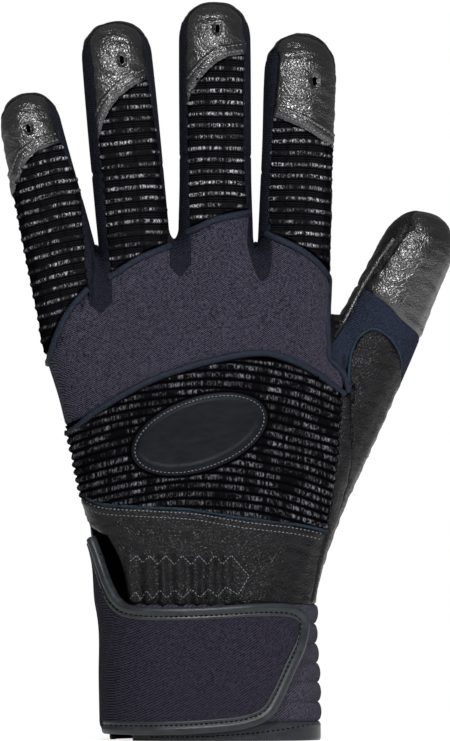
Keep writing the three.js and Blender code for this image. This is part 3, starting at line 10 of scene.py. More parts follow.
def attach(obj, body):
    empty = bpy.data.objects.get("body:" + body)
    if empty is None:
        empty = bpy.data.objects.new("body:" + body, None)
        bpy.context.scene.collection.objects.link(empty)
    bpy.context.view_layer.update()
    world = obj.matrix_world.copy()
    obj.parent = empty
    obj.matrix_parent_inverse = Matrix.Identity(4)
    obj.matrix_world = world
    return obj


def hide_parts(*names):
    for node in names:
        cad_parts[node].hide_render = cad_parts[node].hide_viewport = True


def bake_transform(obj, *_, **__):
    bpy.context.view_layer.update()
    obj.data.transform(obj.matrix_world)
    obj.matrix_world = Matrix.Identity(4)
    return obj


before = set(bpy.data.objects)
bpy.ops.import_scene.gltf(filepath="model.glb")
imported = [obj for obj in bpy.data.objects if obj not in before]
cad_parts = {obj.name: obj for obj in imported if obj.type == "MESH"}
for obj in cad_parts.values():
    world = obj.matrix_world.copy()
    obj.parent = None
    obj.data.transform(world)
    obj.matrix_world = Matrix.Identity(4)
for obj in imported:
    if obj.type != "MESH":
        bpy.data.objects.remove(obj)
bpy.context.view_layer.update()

# The view. The glove stands upright on a pale table, its back to the camera, seen square on from far off.
# A pixel of the 450 by 741 picture is 0.32 mm on it. Soft boxes stand over, beside, above and behind it.
photo_left, photo_right, photo_top, photo_foot = 1, 448, 1.5, 739.5
glove_span, glove_length = 143.0, 236.0
pixel_across = glove_span / (photo_right - photo_left)
pixel_up = glove_length / (photo_foot - photo_top)
photo_middle = (photo_left + photo_right) / 2
photo_size = (450, 741)
drawn_origin = np.array([-0.72016, 1.67309, 0.0])
camera_distance, camera_sight = 5.0, 20.0
camera_sensor = 0.036
mm = 0.001


def flat(pixels):
    """Across and up on the glove, in drawn millimetres, of places in the picture."""
    pixels = np.atleast_2d(np.asarray(pixels, float))
    x = (pixels[:, 0] - photo_middle) * pixel_across
    z = (photo_foot - pixels[:, 1]) * pixel_up
    return np.stack([x, z], 1)


def to_frame(points):
    return (np.asarray(points, float) + drawn_origin) * mm


def to_drawn(points):
    return np.asarray(points, float) / mm - drawn_origin


def placed(name, data):
    made = bpy.data.objects.new(name, data)
    bpy.context.scene.collection.objects.link(made)
    return made


across, height_up = flat([photo_size[0] / 2, photo_size[1] / 2])[0]
aim = to_frame([across, 0, height_up])
camera = placed("camera", bpy.data.cameras.new("camera"))
camera.data.sensor_width = camera_sensor / mm
camera.data.lens = camera_sensor * camera_distance / (photo_size[1] * pixel_up * mm) / mm
camera.location = (aim[0], aim[1] - camera_distance, aim[2])
camera.rotation_euler = (math.radians(90), 0, 0)
camera.data.clip_end = camera_sight
bpy.context.scene.camera = camera
bpy.context.scene.view_settings.view_transform = "Standard"

soft_boxes = {
    "box_over": ((-0.12, -0.95, 0.82), 0.3, 16.0),
    "box_right": ((0.7, -0.95, 0.42), 0.3, 18.0),
    "box_above": ((0.05, -0.15, 1.1), 0.5, 5.0),
    "box_behind": ((0.2, 1.1, 0.7), 0.8, 8.0),
}
for name, (place, size, power) in soft_boxes.items():
    lamp = placed(name, bpy.data.lights.new(name, "AREA"))
    lamp.data.size = size
    lamp.data.energy = power
    lamp.location = place
    lamp.rotation_euler = (Vector(aim) - Vector(place)).to_track_quat("-Z", "Y").to_euler()
    lamp.visible_glossy = name == "box_over"


def nodes_of(tree):
    """A short way to add nodes to a tree: a socket is given another socket or a plain value."""
    def add(kind, at=None, **values):
        node = tree.nodes.new(kind)
        for key, value in values.items():
            if hasattr(node, key):
                setattr(node, key, value)
            else:
                node.inputs[key.replace("_", " ")].default_value = value
        for socket, source in (at or {}).items():
            if isinstance(source, bpy.types.NodeSocket):
                tree.links.new(source, node.inputs[socket])
            else:
                node.inputs[socket].default_value = source
        return node
    return add


def fresh_nodes(holder):
    holder.use_nodes = True
    holder.node_tree.nodes.clear()
    return nodes_of(holder.node_tree)


def maths(add, operation, *terms):
    return add("ShaderNodeMath", dict(enumerate(terms)), operation=operation).outputs[0]


def spread(add, value, low, high, to_low=0.0, to_high=1.0):
    """A value that runs from low to high, made to run from to_low to to_high."""
    return add("ShaderNodeMapRange", {"Value": value}, From_Min=low, From_Max=high, To_Min=to_low,
               To_Max=to_high).outputs[0]


def noise(add, place, scale, detail=2.0, distortion=0.0):
    return add("ShaderNodeTexNoise", {"Vector": place}, Scale=scale, Detail=detail,
               Distortion=distortion).outputs


room_light = 0.25
white_light = (1, 1, 1, 1)
world = bpy.data.worlds.new("room")
bpy.context.scene.world = world
add = fresh_nodes(world)
path = add("ShaderNodeLightPath").outputs
seen_white = maths(add, "MAXIMUM", path["Is Camera Ray"], path["Is Transmission Ray"])
room = add("ShaderNodeBackground", Strength=room_light, Color=white_light)
white = add("ShaderNodeBackground", Strength=1.0, Color=white_light)
mixed = add("ShaderNodeMixShader", {0: seen_white, 1: room.outputs[0], 2: white.outputs[0]})
add("ShaderNodeOutputWorld", {0: mixed.outputs[0]})

floor_half = 3.0
floor_shadow_reach = 0.45
floor_white_share = 0.75
floor_grey = (0.85, 0.85, 0.85, 1)
floor_mesh = bpy.data.meshes.new("table")
floor_bm = bmesh.new()
bmesh.ops.create_grid(floor_bm, x_segments=1, y_segments=1, size=floor_half)
floor_bm.to_mesh(floor_mesh)
floor_bm.free()
floor = placed("table", floor_mesh)
floor_paint = bpy.data.materials.new("pale_table")
add = fresh_nodes(floor_paint)
path = add("ShaderNodeLightPath").outputs
place = add("ShaderNodeTexCoord").outputs["Object"]
reach = add("ShaderNodeVectorMath", {0: place}, operation="LENGTH").outputs["Value"]
paler = spread(add, reach, 0.0, floor_shadow_reach, floor_white_share)
share = maths(add, "MULTIPLY", path["Is Camera Ray"], paler)
matt = add("ShaderNodeBsdfDiffuse", Color=floor_grey)
lit = add("ShaderNodeEmission", Color=white_light, Strength=1.0)
mixed = add("ShaderNodeMixShader", {0: share, 1: matt.outputs[0], 2: lit.outputs[0]})
add("ShaderNodeOutputMaterial", {0: mixed.outputs[0]})
floor_mesh.materials.append(floor_paint)

# The form. Every panel is laid on one hand-shaped surface, that of the solids: five digits and the hand,
# flowing into each other. Lengths here are in drawn millimetres.
cuff_depth = 46.0


def along(stations, share):
    stations = np.asarray(stations, float)
    last = len(stations) - 1
    place = np.clip(share, 0, 1) * last
    i = np.minimum(place.astype(int), last - 1)
    t = place - i
    a, b, c, d = (stations[np.clip(i + k, 0, last)] for k in (-1, 0, 1, 2))
    return b + 0.5 * t * (c - a + t * (2 * a - 5 * b + 4 * c - d + t * (3 * (b - c) + d - a)))


def round_field(u, v, end, width, depth, end_length, fullness):
    a = np.abs(u) / width + 1e-6
    b = np.abs(v) / depth
    g = (a ** fullness + b ** fullness + end ** fullness) ** (1 / fullness)
    steep = np.sqrt((a ** (fullness - 1) / width) ** 2 + (b ** (fullness - 1) / depth) ** 2
                    + (end ** (fullness - 1) / end_length) ** 2)
    return (g - 1) / (g ** (1 - fullness) * steep)


finger_depths = [0.262, 0.25, 0.24, 0.235, 0.225, 0.21]
finger_curls = [0, 0, 0.01, 0.03, 0.07, 0.13]
digit_fullness = 2.2
digit_drawings = {
    "little": dict(root=(77, 322), tip=(23.5, 93), widths=[37, 36, 34.5, 32.5, 30.5, 29.5],
                   depths=[0.9 * d for d in finger_depths], curls=finger_curls, end=0.15, crease=0.51),
    "ring": dict(root=(140, 305), tip=(113.5, 21), widths=[36, 36, 36, 36, 35.5, 34.5],
                 depths=finger_depths, curls=finger_curls, end=0.13, crease=0.475),
    "middle": dict(root=(216, 300), tip=(214.5, 1.5), widths=[37.5, 37.5, 36, 36, 36, 35.5],
                   depths=finger_depths, curls=finger_curls, end=0.13, crease=0.486),
    "index": dict(root=(292, 305), tip=(301.5, 33), widths=[36.5, 36.5, 36, 35.5, 36, 35],
                  depths=finger_depths, curls=finger_curls, end=0.15, crease=0.489),
    "thumb": dict(root=(294, 512.6), tip=(433.5, 213.5), widths=[42, 43.5, 43, 41.5, 37.5, 36.5],
                  depths=[0.33, 0.33, 0.3, 0.27, 0.25, 0.225], curls=[0.13, 0.15, 0.18, 0.2, 0.23, 0.26],
                  end=0.15, crease=0.67),
}


class Digit:
    def __init__(self, drawing):
        self.root, tip = flat([drawing["root"], drawing["tip"]])
        self.length = float(np.hypot(*(tip - self.root)))
        self.way = (tip - self.root) / self.length
        self.side = np.array([self.way[1], -self.way[0]])
        self.widths = np.array(drawing["widths"]) * pixel_across
        self.depths = np.array(drawing["depths"]) * cuff_depth
        self.curls = np.array(drawing["curls"]) * cuff_depth
        self.end = drawing["end"] * self.length
        self.crease = drawing["crease"] * self.length

    def local(self, points):
        """Distance along the digit from its root, and across it."""
        offset = points[:, [0, 2]] - self.root
        return offset @ self.way, offset @ self.side

    def place(self, s, u=0.0, y=0.0):
        x, z = self.root + self.way * s + self.side * u
        return Vector(to_frame([x, y, z]))

    def field(self, points):
        s, u = self.local(points)
        inside = np.clip(s, 0, self.length)
        end = np.where(s < 0, -s / (2 * self.end), (s - self.length + self.end) / self.end)
        share = inside / self.length
        return round_field(u, points[:, 1] - along(self.curls, share), np.maximum(end, 0),
                           along(self.widths, share), along(self.depths, share), self.end, digit_fullness)


digits = {name: Digit(drawing) for name, drawing in digit_drawings.items()}
fingers = ["little", "ring", "middle", "index"]
body_top = flat([0, 259.5])[0][1]
body_centres = (np.array([215, 214, 212, 209.5, 208, 204.5, 196.5, 188, 187]) - photo_middle) * pixel_across
body_widths = np.array([103, 103, 102, 113, 126, 135.5, 141.5, 143, 142]) * pixel_across
body_depths = np.array([0.5, 0.478, 0.457, 0.424, 0.402, 0.37, 0.337, 0.297, 0.275]) * cuff_depth
body_crowns = (photo_foot - np.array([300, 262, 246, 243, 246, 258, 290])) * pixel_up
body_end = 46 * pixel_up
body_fullness = 2.5
finger_blend, knuckle_blend, thumb_blend = 1.0, 5.0, 7.0


def body_field(points):
    share = points[:, 2] / body_top
    width = along(body_widths, share)
    offset = points[:, 0] - along(body_centres, share)
    crown = along(body_crowns, 0.5 + offset / (2 * width))
    end = np.maximum((points[:, 2] - crown + body_end) / body_end, 0)
    return round_field(offset, points[:, 1], end, width, along(body_depths, share), body_end, body_fullness)


def soft_min(a, b, blend):
    h = np.maximum(blend - np.abs(a - b), 0) / blend
    return np.minimum(a, b) - h * h * blend / 4


def hand_field(points):
    value = digits["little"].field(points)
    for name in fingers[1:]:
        value = soft_min(value, digits[name].field(points), finger_blend)
    value = soft_min(value, body_field(points), knuckle_blend)
    return soft_min(value, digits["thumb"].field(points), thumb_blend)


def slope(points, probe=0.05):
    steps = probe * np.eye(3)
    rises = [hand_field(points + step) - hand_field(points - step) for step in steps]
    return np.stack(rises, 1) / (2 * probe)


def unit(ways):
    return ways / np.linalg.norm(ways, axis=1)[:, None]


def settle(points, passes=5, least_steep=0.05):
    """Points moved straight onto the hand surface, and the way out of it there."""
    points = np.array(points, float)
    for _ in range(passes):
        out = slope(points)
        steep = np.maximum((out ** 2).sum(1), least_steep)
        points -= out * (hand_field(points) / steep)[:, None]
    return points, unit(slope(points))


def smooth(value):
    value = np.clip(value, 0, 1)
    return value * value * (3 - 2 * value)


def swell(value, middle, width):
    """A soft ridge of height one about the middle."""
    return np.exp(-((value - middle) / width) ** 2)


def waver(points, length, seed, waves=6, shortest=0.7, longest=1.4):
    """A gentle even wander from about -1 to 1, with waves of about this length in millimetres."""
    chance = np.random.default_rng(seed)
    total = np.zeros(len(points))
    for _ in range(waves):
        way = chance.normal(size=3)
        way /= np.linalg.norm(way)
        wave = length * chance.uniform(shortest, longest)
        total += np.sin(points @ way * 2 * math.pi / wave + chance.uniform(0, 6.3))
    return total / waves ** 0.5 / 1.4


def line_distance(points, pixels):
    """How far points lie from a line drawn in the picture, in millimetres, seen from the front."""
    line = flat(pixels)
    best = np.full(len(points), 1e9)
    flat_points = points[:, [0, 2]]
    for a, b in zip(line, line[1:]):
        run = b - a
        share = np.clip((flat_points - a) @ run / (run @ run), 0, 1)
        best = np.minimum(best, np.linalg.norm(flat_points - a - share[:, None] * run, axis=1))
    return best


# Laying cloth. A panel starts as the outer face of its solid, its border let out to the seam, and is rounded
# into fine quads, laid on the form, raised by its own relief and given its thickness.
coarser = 0
rim_length_least = 12.0
outer_facing = 0.35
least_agreement = 0.2
flat_angle, skew_angle, sharp_angle = (math.radians(angle) for angle in (50, 120, 60))
split_rounds = 3
same_place, same_cloth, same_ring = 0.01, 0.002, 0.0001
weld_smoothings = 8
weld_shift = 1.6
far_from_seam = 5.0


def outer_face(nodes, welds=()):
    """The outer faces of the solids, as one sheet; pairs of border points are joined near the welds."""
    bm = bmesh.new()
    for node in nodes:
        bm.from_mesh(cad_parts[node].data)
    bmesh.ops.remove_doubles(bm, verts=bm.verts, dist=same_place * mm)
    out = unit(slope(to_drawn([f.calc_center_median() for f in bm.faces])))
    facing = (out * np.array([f.normal for f in bm.faces])).sum(1)
    drop = [f for f, share in zip(bm.faces, facing) if share < outer_facing]
    bmesh.ops.delete(bm, geom=drop, context="FACES")
    bmesh.ops.join_triangles(bm, faces=bm.faces, angle_face_threshold=flat_angle,
                             angle_shape_threshold=skew_angle)
    for centre, reach, distance in welds:
        near = [v for v in bm.verts if v.is_boundary and centre(v.co) < reach * mm]
        bmesh.ops.remove_doubles(bm, verts=near, dist=distance * mm)
        near = [v for v in bm.verts if v.is_boundary and centre(v.co) < (reach + distance) * mm]
        before = [v.co.copy() for v in near]
        for _ in range(weld_smoothings):
            for v in near:
                ends = [e.other_vert(v).co for e in v.link_edges if e.is_boundary]
                v.co = v.co.lerp(sum(ends, Vector()) / max(len(ends), 1), 0.5)
        for v, place in zip(near, before):
            if (v.co - place).length > weld_shift * mm:
                v.co = place
    return bm


def border_loops(bm):
    """Each closed run of border edges, and its length."""
    left = {e for e in bm.edges if e.is_boundary}
    loops = []
    while left:
        run, found = [left.pop()], True
        ends = list(run[0].verts)
        while found:
            found = next((e for v in ends for e in v.link_edges if e in left), None)
            if found:
                left.discard(found)
                run.append(found)
                ends = [v for e in (found, *run) for v in e.verts]
        loops.append(run)
    return loops


def let_out(bm, amount):
    """Moves the border out along the cloth by so many millimetres, and leaves small holes as they are."""
    shift = {}
    for run in border_loops(bm):
        if sum(e.calc_length() for e in run) < rim_length_least * mm:
            continue
        for e in run:
            face = e.link_faces[0]
            a, b = (v.co for v in e.verts)
            out = (b - a).cross(face.normal).normalized()
            if out.dot(face.calc_center_median() - (a + b) / 2) > 0:
                out.negate()
            for v in e.verts:
                shift.setdefault(v, []).append(out)
    for v, ways in shift.items():
        total = sum(ways, Vector())
        if total.length > least_agreement:
            v.co += total * (amount * mm * len(ways) / max(total.length_squared, 1.0))


corner_cosine = math.cos(math.radians(35))


def rounded(bm, levels, longest):
    """The sheet in finer quads, its border rounded between its corners."""
    kept = bm.verts.layers.float.new("crease_vert")
    for v in bm.verts:
        ways = [(e.other_vert(v).co - v.co).normalized() for e in v.link_edges if e.is_boundary]
        if len(ways) == 2 and -ways[0].dot(ways[1]) < corner_cosine:
            v[kept] = 1.0
    for _ in range(split_rounds):
        long_edges = [e for e in bm.edges if e.calc_length() > longest * mm]
        if not long_edges:
            break
        bmesh.ops.subdivide_edges(bm, edges=long_edges, cuts=1, use_grid_fill=True)
    return modified(bm, "SUBSURF", levels=levels, render_levels=levels, boundary_smooth="PRESERVE_CORNERS")


def modified(bm, kind, **settings):
    mesh = bpy.data.meshes.new("cloth")
    bm.to_mesh(mesh)
    bm.free()
    piece = placed("cloth", mesh)
    modifier = piece.modifiers.new("cloth", kind)
    for key, value in settings.items():
        setattr(modifier, key, value)
    graph = bpy.context.evaluated_depsgraph_get()
    made = bpy.data.meshes.new_from_object(piece.evaluated_get(graph))
    bpy.data.objects.remove(piece)
    bpy.data.meshes.remove(mesh)
    result = bmesh.new()
    result.from_mesh(made)
    bpy.data.meshes.remove(made)
    return result


def nearest_of(others, verts):
    """For each vertex, the place, number and distance of the nearest of the others."""
    tree = kdtree.KDTree(len(others))
    for i, v in enumerate(others):
        tree.insert(v.co, i)
    tree.balance()
    return [tree.find(v.co) for v in verts]


def laid(bm, relief, roll=0.6, roll_width=1.3):
    """A fine sheet laid on the form, raised by relief(points, edge) in millimetres, low at its seams."""
    found = nearest_of([v for v in bm.verts if v.is_boundary], bm.verts)
    edge = np.array([distance for _, _, distance in found]) / mm
    points, out = settle(to_drawn([v.co for v in bm.verts]))
    height = relief(points, edge) - roll * (1 - smooth(edge / roll_width))
    points += out * height[:, None]
    # The distance to the seam, which the finishes use for their painted seam shade.
    edge_layer = bm.verts.layers.float.new("edge_mm")
    rise_layer = bm.verts.layers.float.new("rise_mm")
    for v, place, distance, rise in zip(bm.verts, to_frame(points), edge, height):
        v.co = place
        v[edge_layer] = distance
        v[rise_layer] = rise
    return bm


def relaxed(bm, verts, passes):
    """The sheet with the cloth at these vertices evened."""
    for _ in range(passes):
        bmesh.ops.smooth_vert(bm, verts=verts, factor=0.5, use_axis_x=True, use_axis_y=True, use_axis_z=True)
    return bm


def finished(name, bm, finish, replaces=()):
    """The object, with its finish and the solids that it stands in for."""
    mesh = bpy.data.meshes.new(name)
    bm.to_mesh(mesh)
    bm.free()
    mesh.shade_smooth()
    mesh.set_sharp_from_angle(angle=sharp_angle)
    mesh.materials.append(finish)
    made = placed(name, mesh)
    if replaces:
        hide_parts(*replaces)
    return made


def piece(name, bm, thickness, finish, slot, replaces=()):
    """A finished panel of this thickness, in millimetres."""
    bmesh.ops.remove_doubles(bm, verts=bm.verts, dist=same_cloth * mm)
    bm.normal_update()
    solid = modified(bm, "SOLIDIFY", thickness=thickness * mm, offset=-1, use_rim=True)
    return finished(name, solid, finish, replaces)


def trim(name, bm, finish, replaces=()):
    """A finished cord, tape or row of stitches, which gets no painted shade at seams."""
    layer = bm.verts.layers.float.new("edge_mm")
    for v in bm.verts:
        v[layer] = far_from_seam
    return finished(name, bm, finish, replaces)


def level(height=0.0):
    return lambda points, edge=None: np.full(len(points), height)


def panel(name, nodes, finish, slot, thickness=1.0, levels=2, longest=6.0, grow=0.8, relief=level(),
          roll=0.6, roll_width=1.3, welds=()):
    bm = outer_face(nodes, welds)
    let_out(bm, grow)
    bm = laid(rounded(bm, max(levels - coarser, 1), longest), relief, roll, roll_width)
    return piece(name, bm, thickness, finish, slot, nodes)


# Finishes that many pieces share: leather grain, the fine jersey face of the stretch cloth, and thread.
def paint(code):
    """A colour written as it looks, as the shader needs it."""
    parts = [int(code[i:i + 2], 16) / 255 for i in (1, 3, 5)]
    return (*[c / 12.92 if c <= 0.04045 else ((c + 0.055) / 1.055) ** 2.4 for c in parts], 1.0)


def effect(name, **inputs):
    """A node group that gives a height and a shade, with its inputs at these values."""
    group = bpy.data.node_groups.new(name, "ShaderNodeTree")
    for key, value in inputs.items():
        socket = group.interface.new_socket(key, in_out="INPUT", socket_type="NodeSocketFloat")
        socket.default_value = value
    for key in ("Height", "Shade"):
        group.interface.new_socket(key, in_out="OUTPUT", socket_type="NodeSocketFloat")
    add = nodes_of(group)
    return group, add, add("NodeGroupInput").outputs


def grain_effect(pebble_share=0.0012, pore_share=0.35):
    """Leather: small pebbles, finer pores and soft creases that run across."""
    group, add, given = effect("leather_grain", Pebble=1.0, Crease=0.5)
    place = add("ShaderNodeTexCoord").outputs["Object"]
    bent = noise(add, place, 260.0)["Color"]
    moved = add("ShaderNodeMix", {4: place, 5: bent}, data_type="VECTOR", Factor=pebble_share).outputs[1]
    pebbles = add("ShaderNodeTexVoronoi", {"Vector": moved}, feature="DISTANCE_TO_EDGE", Scale=1050.0)
    pebble_edge = spread(add, pebbles.outputs["Distance"], 0.0, 0.22)
    pores = noise(add, place, 2600.0, 3.0)["Fac"]
    stretch = add("ShaderNodeMapping", {"Vector": place}, Scale=(150, 150, 420))
    creases = noise(add, stretch.outputs[0], 1.0, 4.0, 0.8)["Fac"]
    pebble_part = maths(add, "MULTIPLY", pebble_edge, given["Pebble"])
    crease_part = maths(add, "MULTIPLY", creases, given["Crease"])
    both = maths(add, "ADD", pebble_part, crease_part)
    total = maths(add, "ADD", both, maths(add, "MULTIPLY", pores, pore_share))
    add("NodeGroupOutput", {"Height": total, "Shade": creases})
    return group


def knit_effect(knit_share=0.34):
    """Jersey: rows of small vees, seen as fine slanting ribs in two directions."""
    group, add, given = effect("jersey_face", Wale=1.0)
    place = add("ShaderNodeTexCoord").outputs["Object"]
    scaled = add("ShaderNodeVectorMath", {0: place, "Scale": given["Wale"]}, operation="SCALE").outputs[0]
    part = add("ShaderNodeSeparateXYZ", {0: scaled}).outputs

    def wave(shares, frequency):
        x, y, z = [maths(add, "MULTIPLY", part[key], share * frequency) for key, share in zip("XYZ", shares)]
        return maths(add, "SINE", maths(add, "ADD", maths(add, "ADD", x, y), z))

    both = maths(add, "MULTIPLY", wave((1.0, 0.7, 0.0), 7800.0), wave((0.25, 0.2, 1.0), 9400.0))
    total = maths(add, "ADD", both, noise(add, place, 3200.0)["Fac"])
    shade = maths(add, "MULTIPLY_ADD", both, knit_share, noise(add, place, 1500.0)["Fac"])
    add("NodeGroupOutput", {"Height": total, "Shade": shade})
    return group


shade_low, shade_high = 0.3, 0.7


def rib_effect(rise_low=0.35, groove_low=0.02, groove_high=0.12, groove_shade=0.012):
    """Ribbed knit: painted highlight in fine upright dashes on the raised threads, and painted shade in the
    grooves.
    """
    group, add, given = effect("rib_threads", Top=0.8)
    place = add("ShaderNodeTexCoord").outputs["Object"]
    upright = add("ShaderNodeMapping", {"Vector": place}, Scale=(2100, 2100, 420))
    threads = noise(add, upright.outputs[0], 1.0, 1.0)["Fac"]
    bright = spread(add, threads, 0.46, 0.68)
    patch = spread(add, noise(add, place, 170.0)["Fac"], 0.35, 0.62)
    rise = add("ShaderNodeAttribute", attribute_name="rise_mm").outputs["Fac"]
    raised = add("ShaderNodeMapRange", {"Value": rise, "From Max": given["Top"]}, From_Min=rise_low)
    # Painted highlight: the colour brightens in dashes where the threads are raised; the grooves keep the
    # dark low colour as painted shade.
    shade = maths(add, "MULTIPLY", maths(add, "MULTIPLY", bright, raised.outputs[0]), patch)
    shade = maths(add, "MAXIMUM", shade, spread(add, rise, groove_low, groove_high, 0.0, groove_shade))
    add("NodeGroupOutput", {"Height": threads, "Shade": spread(add, shade, 0.0, 1.0, shade_low, shade_high)})
    return group


grain, knit, rib = grain_effect(), knit_effect(), rib_effect()
seam_near, seam_far = 0.1, 0.9
sheen_rough = 0.5


def finish(name, face, low, high, rough, bump, depth_mm, edge_dark=0.55, specular=0.3, sheen=0.0, **values):
    """A material whose colour goes from low to high with the shade of its face, with painted shade at the
    seams.
    """
    made = bpy.data.materials.new(name)
    add = fresh_nodes(made)
    source = add("ShaderNodeGroup", node_tree=face, **values).outputs
    shade = spread(add, source["Shade"], shade_low, shade_high)
    colour = add("ShaderNodeMix", {0: shade, 6: paint(low), 7: paint(high)}, data_type="RGBA").outputs[2]
    # Painted shade at the seams: the colour darkens to edge_dark of itself at the border.
    edge = add("ShaderNodeAttribute", attribute_name="edge_mm").outputs["Fac"]
    near = spread(add, edge, seam_near, seam_far, edge_dark)
    seam_shaded_colour = add("ShaderNodeVectorMath", {0: colour, "Scale": near}, operation="SCALE")
    gloss = spread(add, source["Shade"], shade_low, shade_high, *rough)
    rise = add("ShaderNodeBump", {"Height": source["Height"]}, Strength=bump, Distance=depth_mm * mm)
    shader = add("ShaderNodeBsdfPrincipled", {
        "Base Color": seam_shaded_colour.outputs[0], "Roughness": gloss, "Normal": rise.outputs[0],
        "Specular IOR Level": specular, "Sheen Weight": sheen, "Sheen Roughness": sheen_rough})
    add("ShaderNodeOutputMaterial", {0: shader.outputs[0]})
    return made


black_leather = finish("black_leather", grain, "#060607", "#0c0c0e", (0.3, 0.42), 0.7, 0.18,
                       specular=0.14, Pebble=0.8, Crease=2.2)
glossy_leather = finish("glossy_leather", grain, "#040405", "#09090b", (0.28, 0.36), 0.42, 0.16,
                        specular=0.75, Pebble=1.0, Crease=1.6)
oval_leather = finish("oval_leather", grain, "#08090c", "#0d0f12", (0.4, 0.5), 0.4, 0.06,
                      specular=0.06, Pebble=0.5, Crease=0.3)
grey_binding = finish("grey_binding", grain, "#121416", "#1e2124", (0.35, 0.45), 0.4, 0.06, edge_dark=1.0,
                      specular=0.22, Pebble=0.5, Crease=0.3)
navy_stretch = finish("navy_stretch", knit, "#030205", "#312f3a", (0.8, 0.95), 0.8, 0.14,
                      specular=0.03, sheen=0.02, Wale=1.0)
navy_web = finish("navy_web", knit, "#040508", "#16171f", (0.75, 0.9), 0.6, 0.1, specular=0.04, Wale=1.0)
navy_foam = finish("navy_foam", knit, "#0a090d", "#24222b", (0.8, 0.95), 0.7, 0.1, specular=0.03, Wale=0.8)
navy_thumb = finish("navy_thumb", knit, "#06080e", "#1e222e", (0.75, 0.9), 0.6, 0.1, specular=0.04, Wale=1.0)
# The cuff knit darkens strongly towards its borders: painted shadow where it shows under the wrist leather.
cuff_knit = finish("cuff_knit", knit, "#100f14", "#37353e", (0.8, 0.95), 0.7, 0.1, edge_dark=0.15,
                   specular=0.03, Wale=0.8)
navy_cord = finish("navy_cord", knit, "#080a10", "#191e28", (0.5, 0.65), 0.4, 0.06, edge_dark=1.0,
                   specular=0.08, Wale=1.3)
# The light end of these rib colours is the painted highlight on the raised threads; the dark end is painted
# shade in the grooves.
black_rib = finish("black_rib", rib, "#020203", "#86868a", (0.9, 0.6), 0.6, 0.1, specular=0.0, Top=0.8)
knuckle_rib = finish("knuckle_rib", rib, "#020203", "#505054", (0.9, 0.6), 0.6, 0.1, specular=0.0, Top=0.8)
black_tape = finish("black_tape", knit, "#050506", "#111113", (0.8, 0.95), 1.0, 0.3, specular=0.04, Wale=0.6)
thread_grey = finish("thread_grey", knit, "#4a4b4f", "#6c6e73", (0.5, 0.6), 0.2, 0.02, edge_dark=1.0,
                     specular=0.05, Wale=2.0)
thread_black = finish("thread_black", knit, "#020203", "#050506", (0.6, 0.7), 0.2, 0.02, edge_dark=1.0,
                      specular=0.0, Wale=2.0)
blue_edge = finish("blue_edge", knit, "#0b1015", "#1c2730", (0.6, 0.7), 0.3, 0.04, edge_dark=1.0,
                   specular=0.04, Wale=1.5)

# Lines. Cords and tapes run along a line in the picture, laid on the form; stitches are small bars of
# thread set along such a line on the panel they hold.
depth_step = 0.5
front_depths = np.arange(-34.0, 4.0, depth_step)
lift_guess = 3.0
halvings = 10
line_fineness = 40
stitch_leap, stitch_rise_share = 2.5, 0.3
ray_start = 0.1


def reach_along(points):
    """How far along their line the points lie."""
    return np.concatenate([[0.0], np.cumsum(np.linalg.norm(np.diff(points, axis=0), axis=1))])


def drawn_line(pixels, step=1.0, shift=0.0):
    """A smooth line through picture points in even steps of so many millimetres, shifted to its left."""
    corners = flat(pixels)
    shares = np.linspace(0, 1, line_fineness * len(corners))
    curve = np.stack([along(corners[:, 0], shares), along(corners[:, 1], shares)], 1)
    if shift:
        run = np.gradient(curve, axis=0)
        run /= np.linalg.norm(run, axis=1)[:, None] + 1e-9
        curve += shift * np.stack([-run[:, 1], run[:, 0]], 1)
    reach = reach_along(curve)
    at = np.linspace(0, reach[-1], max(int(round(reach[-1] / step)), 2) + 1)
    return np.stack([np.interp(at, reach, curve[:, 0]), np.interp(at, reach, curve[:, 1])], 1)


def front(places, lift=0.0):
    """Points at places across and up on the back of the glove, or nearest to it, raised by this lift."""
    lift = np.zeros(len(places)) + lift
    count = len(front_depths)
    grid = np.stack([np.repeat(places[:, 0], count), np.tile(front_depths, len(places)),
                     np.repeat(places[:, 1], count)], 1)
    inside = hand_field(grid).reshape(-1, count) < lift[:, None]
    far = front_depths[np.maximum(inside.argmax(1), 1)]
    near = far - depth_step
    for _ in range(halvings):
        middle = (near + far) / 2
        held = hand_field(np.stack([places[:, 0], middle, places[:, 1]], 1)) < lift
        near, far = np.where(held, near, middle), np.where(held, middle, far)
    points = np.stack([places[:, 0], far, places[:, 1]], 1)
    missed = ~inside.any(1)
    if missed.any():
        rough = np.stack([places[missed, 0], np.zeros(missed.sum()), places[missed, 1]], 1)
        settled, out = settle(rough)
        points[missed] = settled + out * lift[missed, None]
    return points


def swept(name, pixels, profile, finish, lift=level(), replaces=(), step=0.7):
    """A cord or tape along a line; its profile lists how far right of the line, and how high, it goes."""
    line = drawn_line(pixels, step)
    points = front(line, lift(front(line, lift_guess)))
    out = unit(slope(points))
    run = unit(np.gradient(points, axis=0))
    side = unit(np.cross(run, out))
    rows, columns = len(points) - 1, len(profile)
    bm = bmesh.new()
    bmesh.ops.create_grid(bm, x_segments=columns, y_segments=rows, size=1.0)
    for v in bm.verts:
        k = round((v.co.y + 1) / 2 * rows)
        sideways, height = profile[round((v.co.x + 1) / 2 * columns) % columns]
        v.co = to_frame(points[k] + side[k] * sideways + out[k] * height)
    bmesh.ops.remove_doubles(bm, verts=bm.verts, dist=same_ring * mm)
    bmesh.ops.holes_fill(bm, edges=bm.edges)
    bmesh.ops.recalc_face_normals(bm, faces=bm.faces)
    return trim(name, bm, finish, replaces)


def round_profile(radius, height, count=12):
    turns = [2 * math.pi * k / count for k in range(count)]
    return [(radius * math.sin(turn), height + radius * math.cos(turn)) for turn in turns]


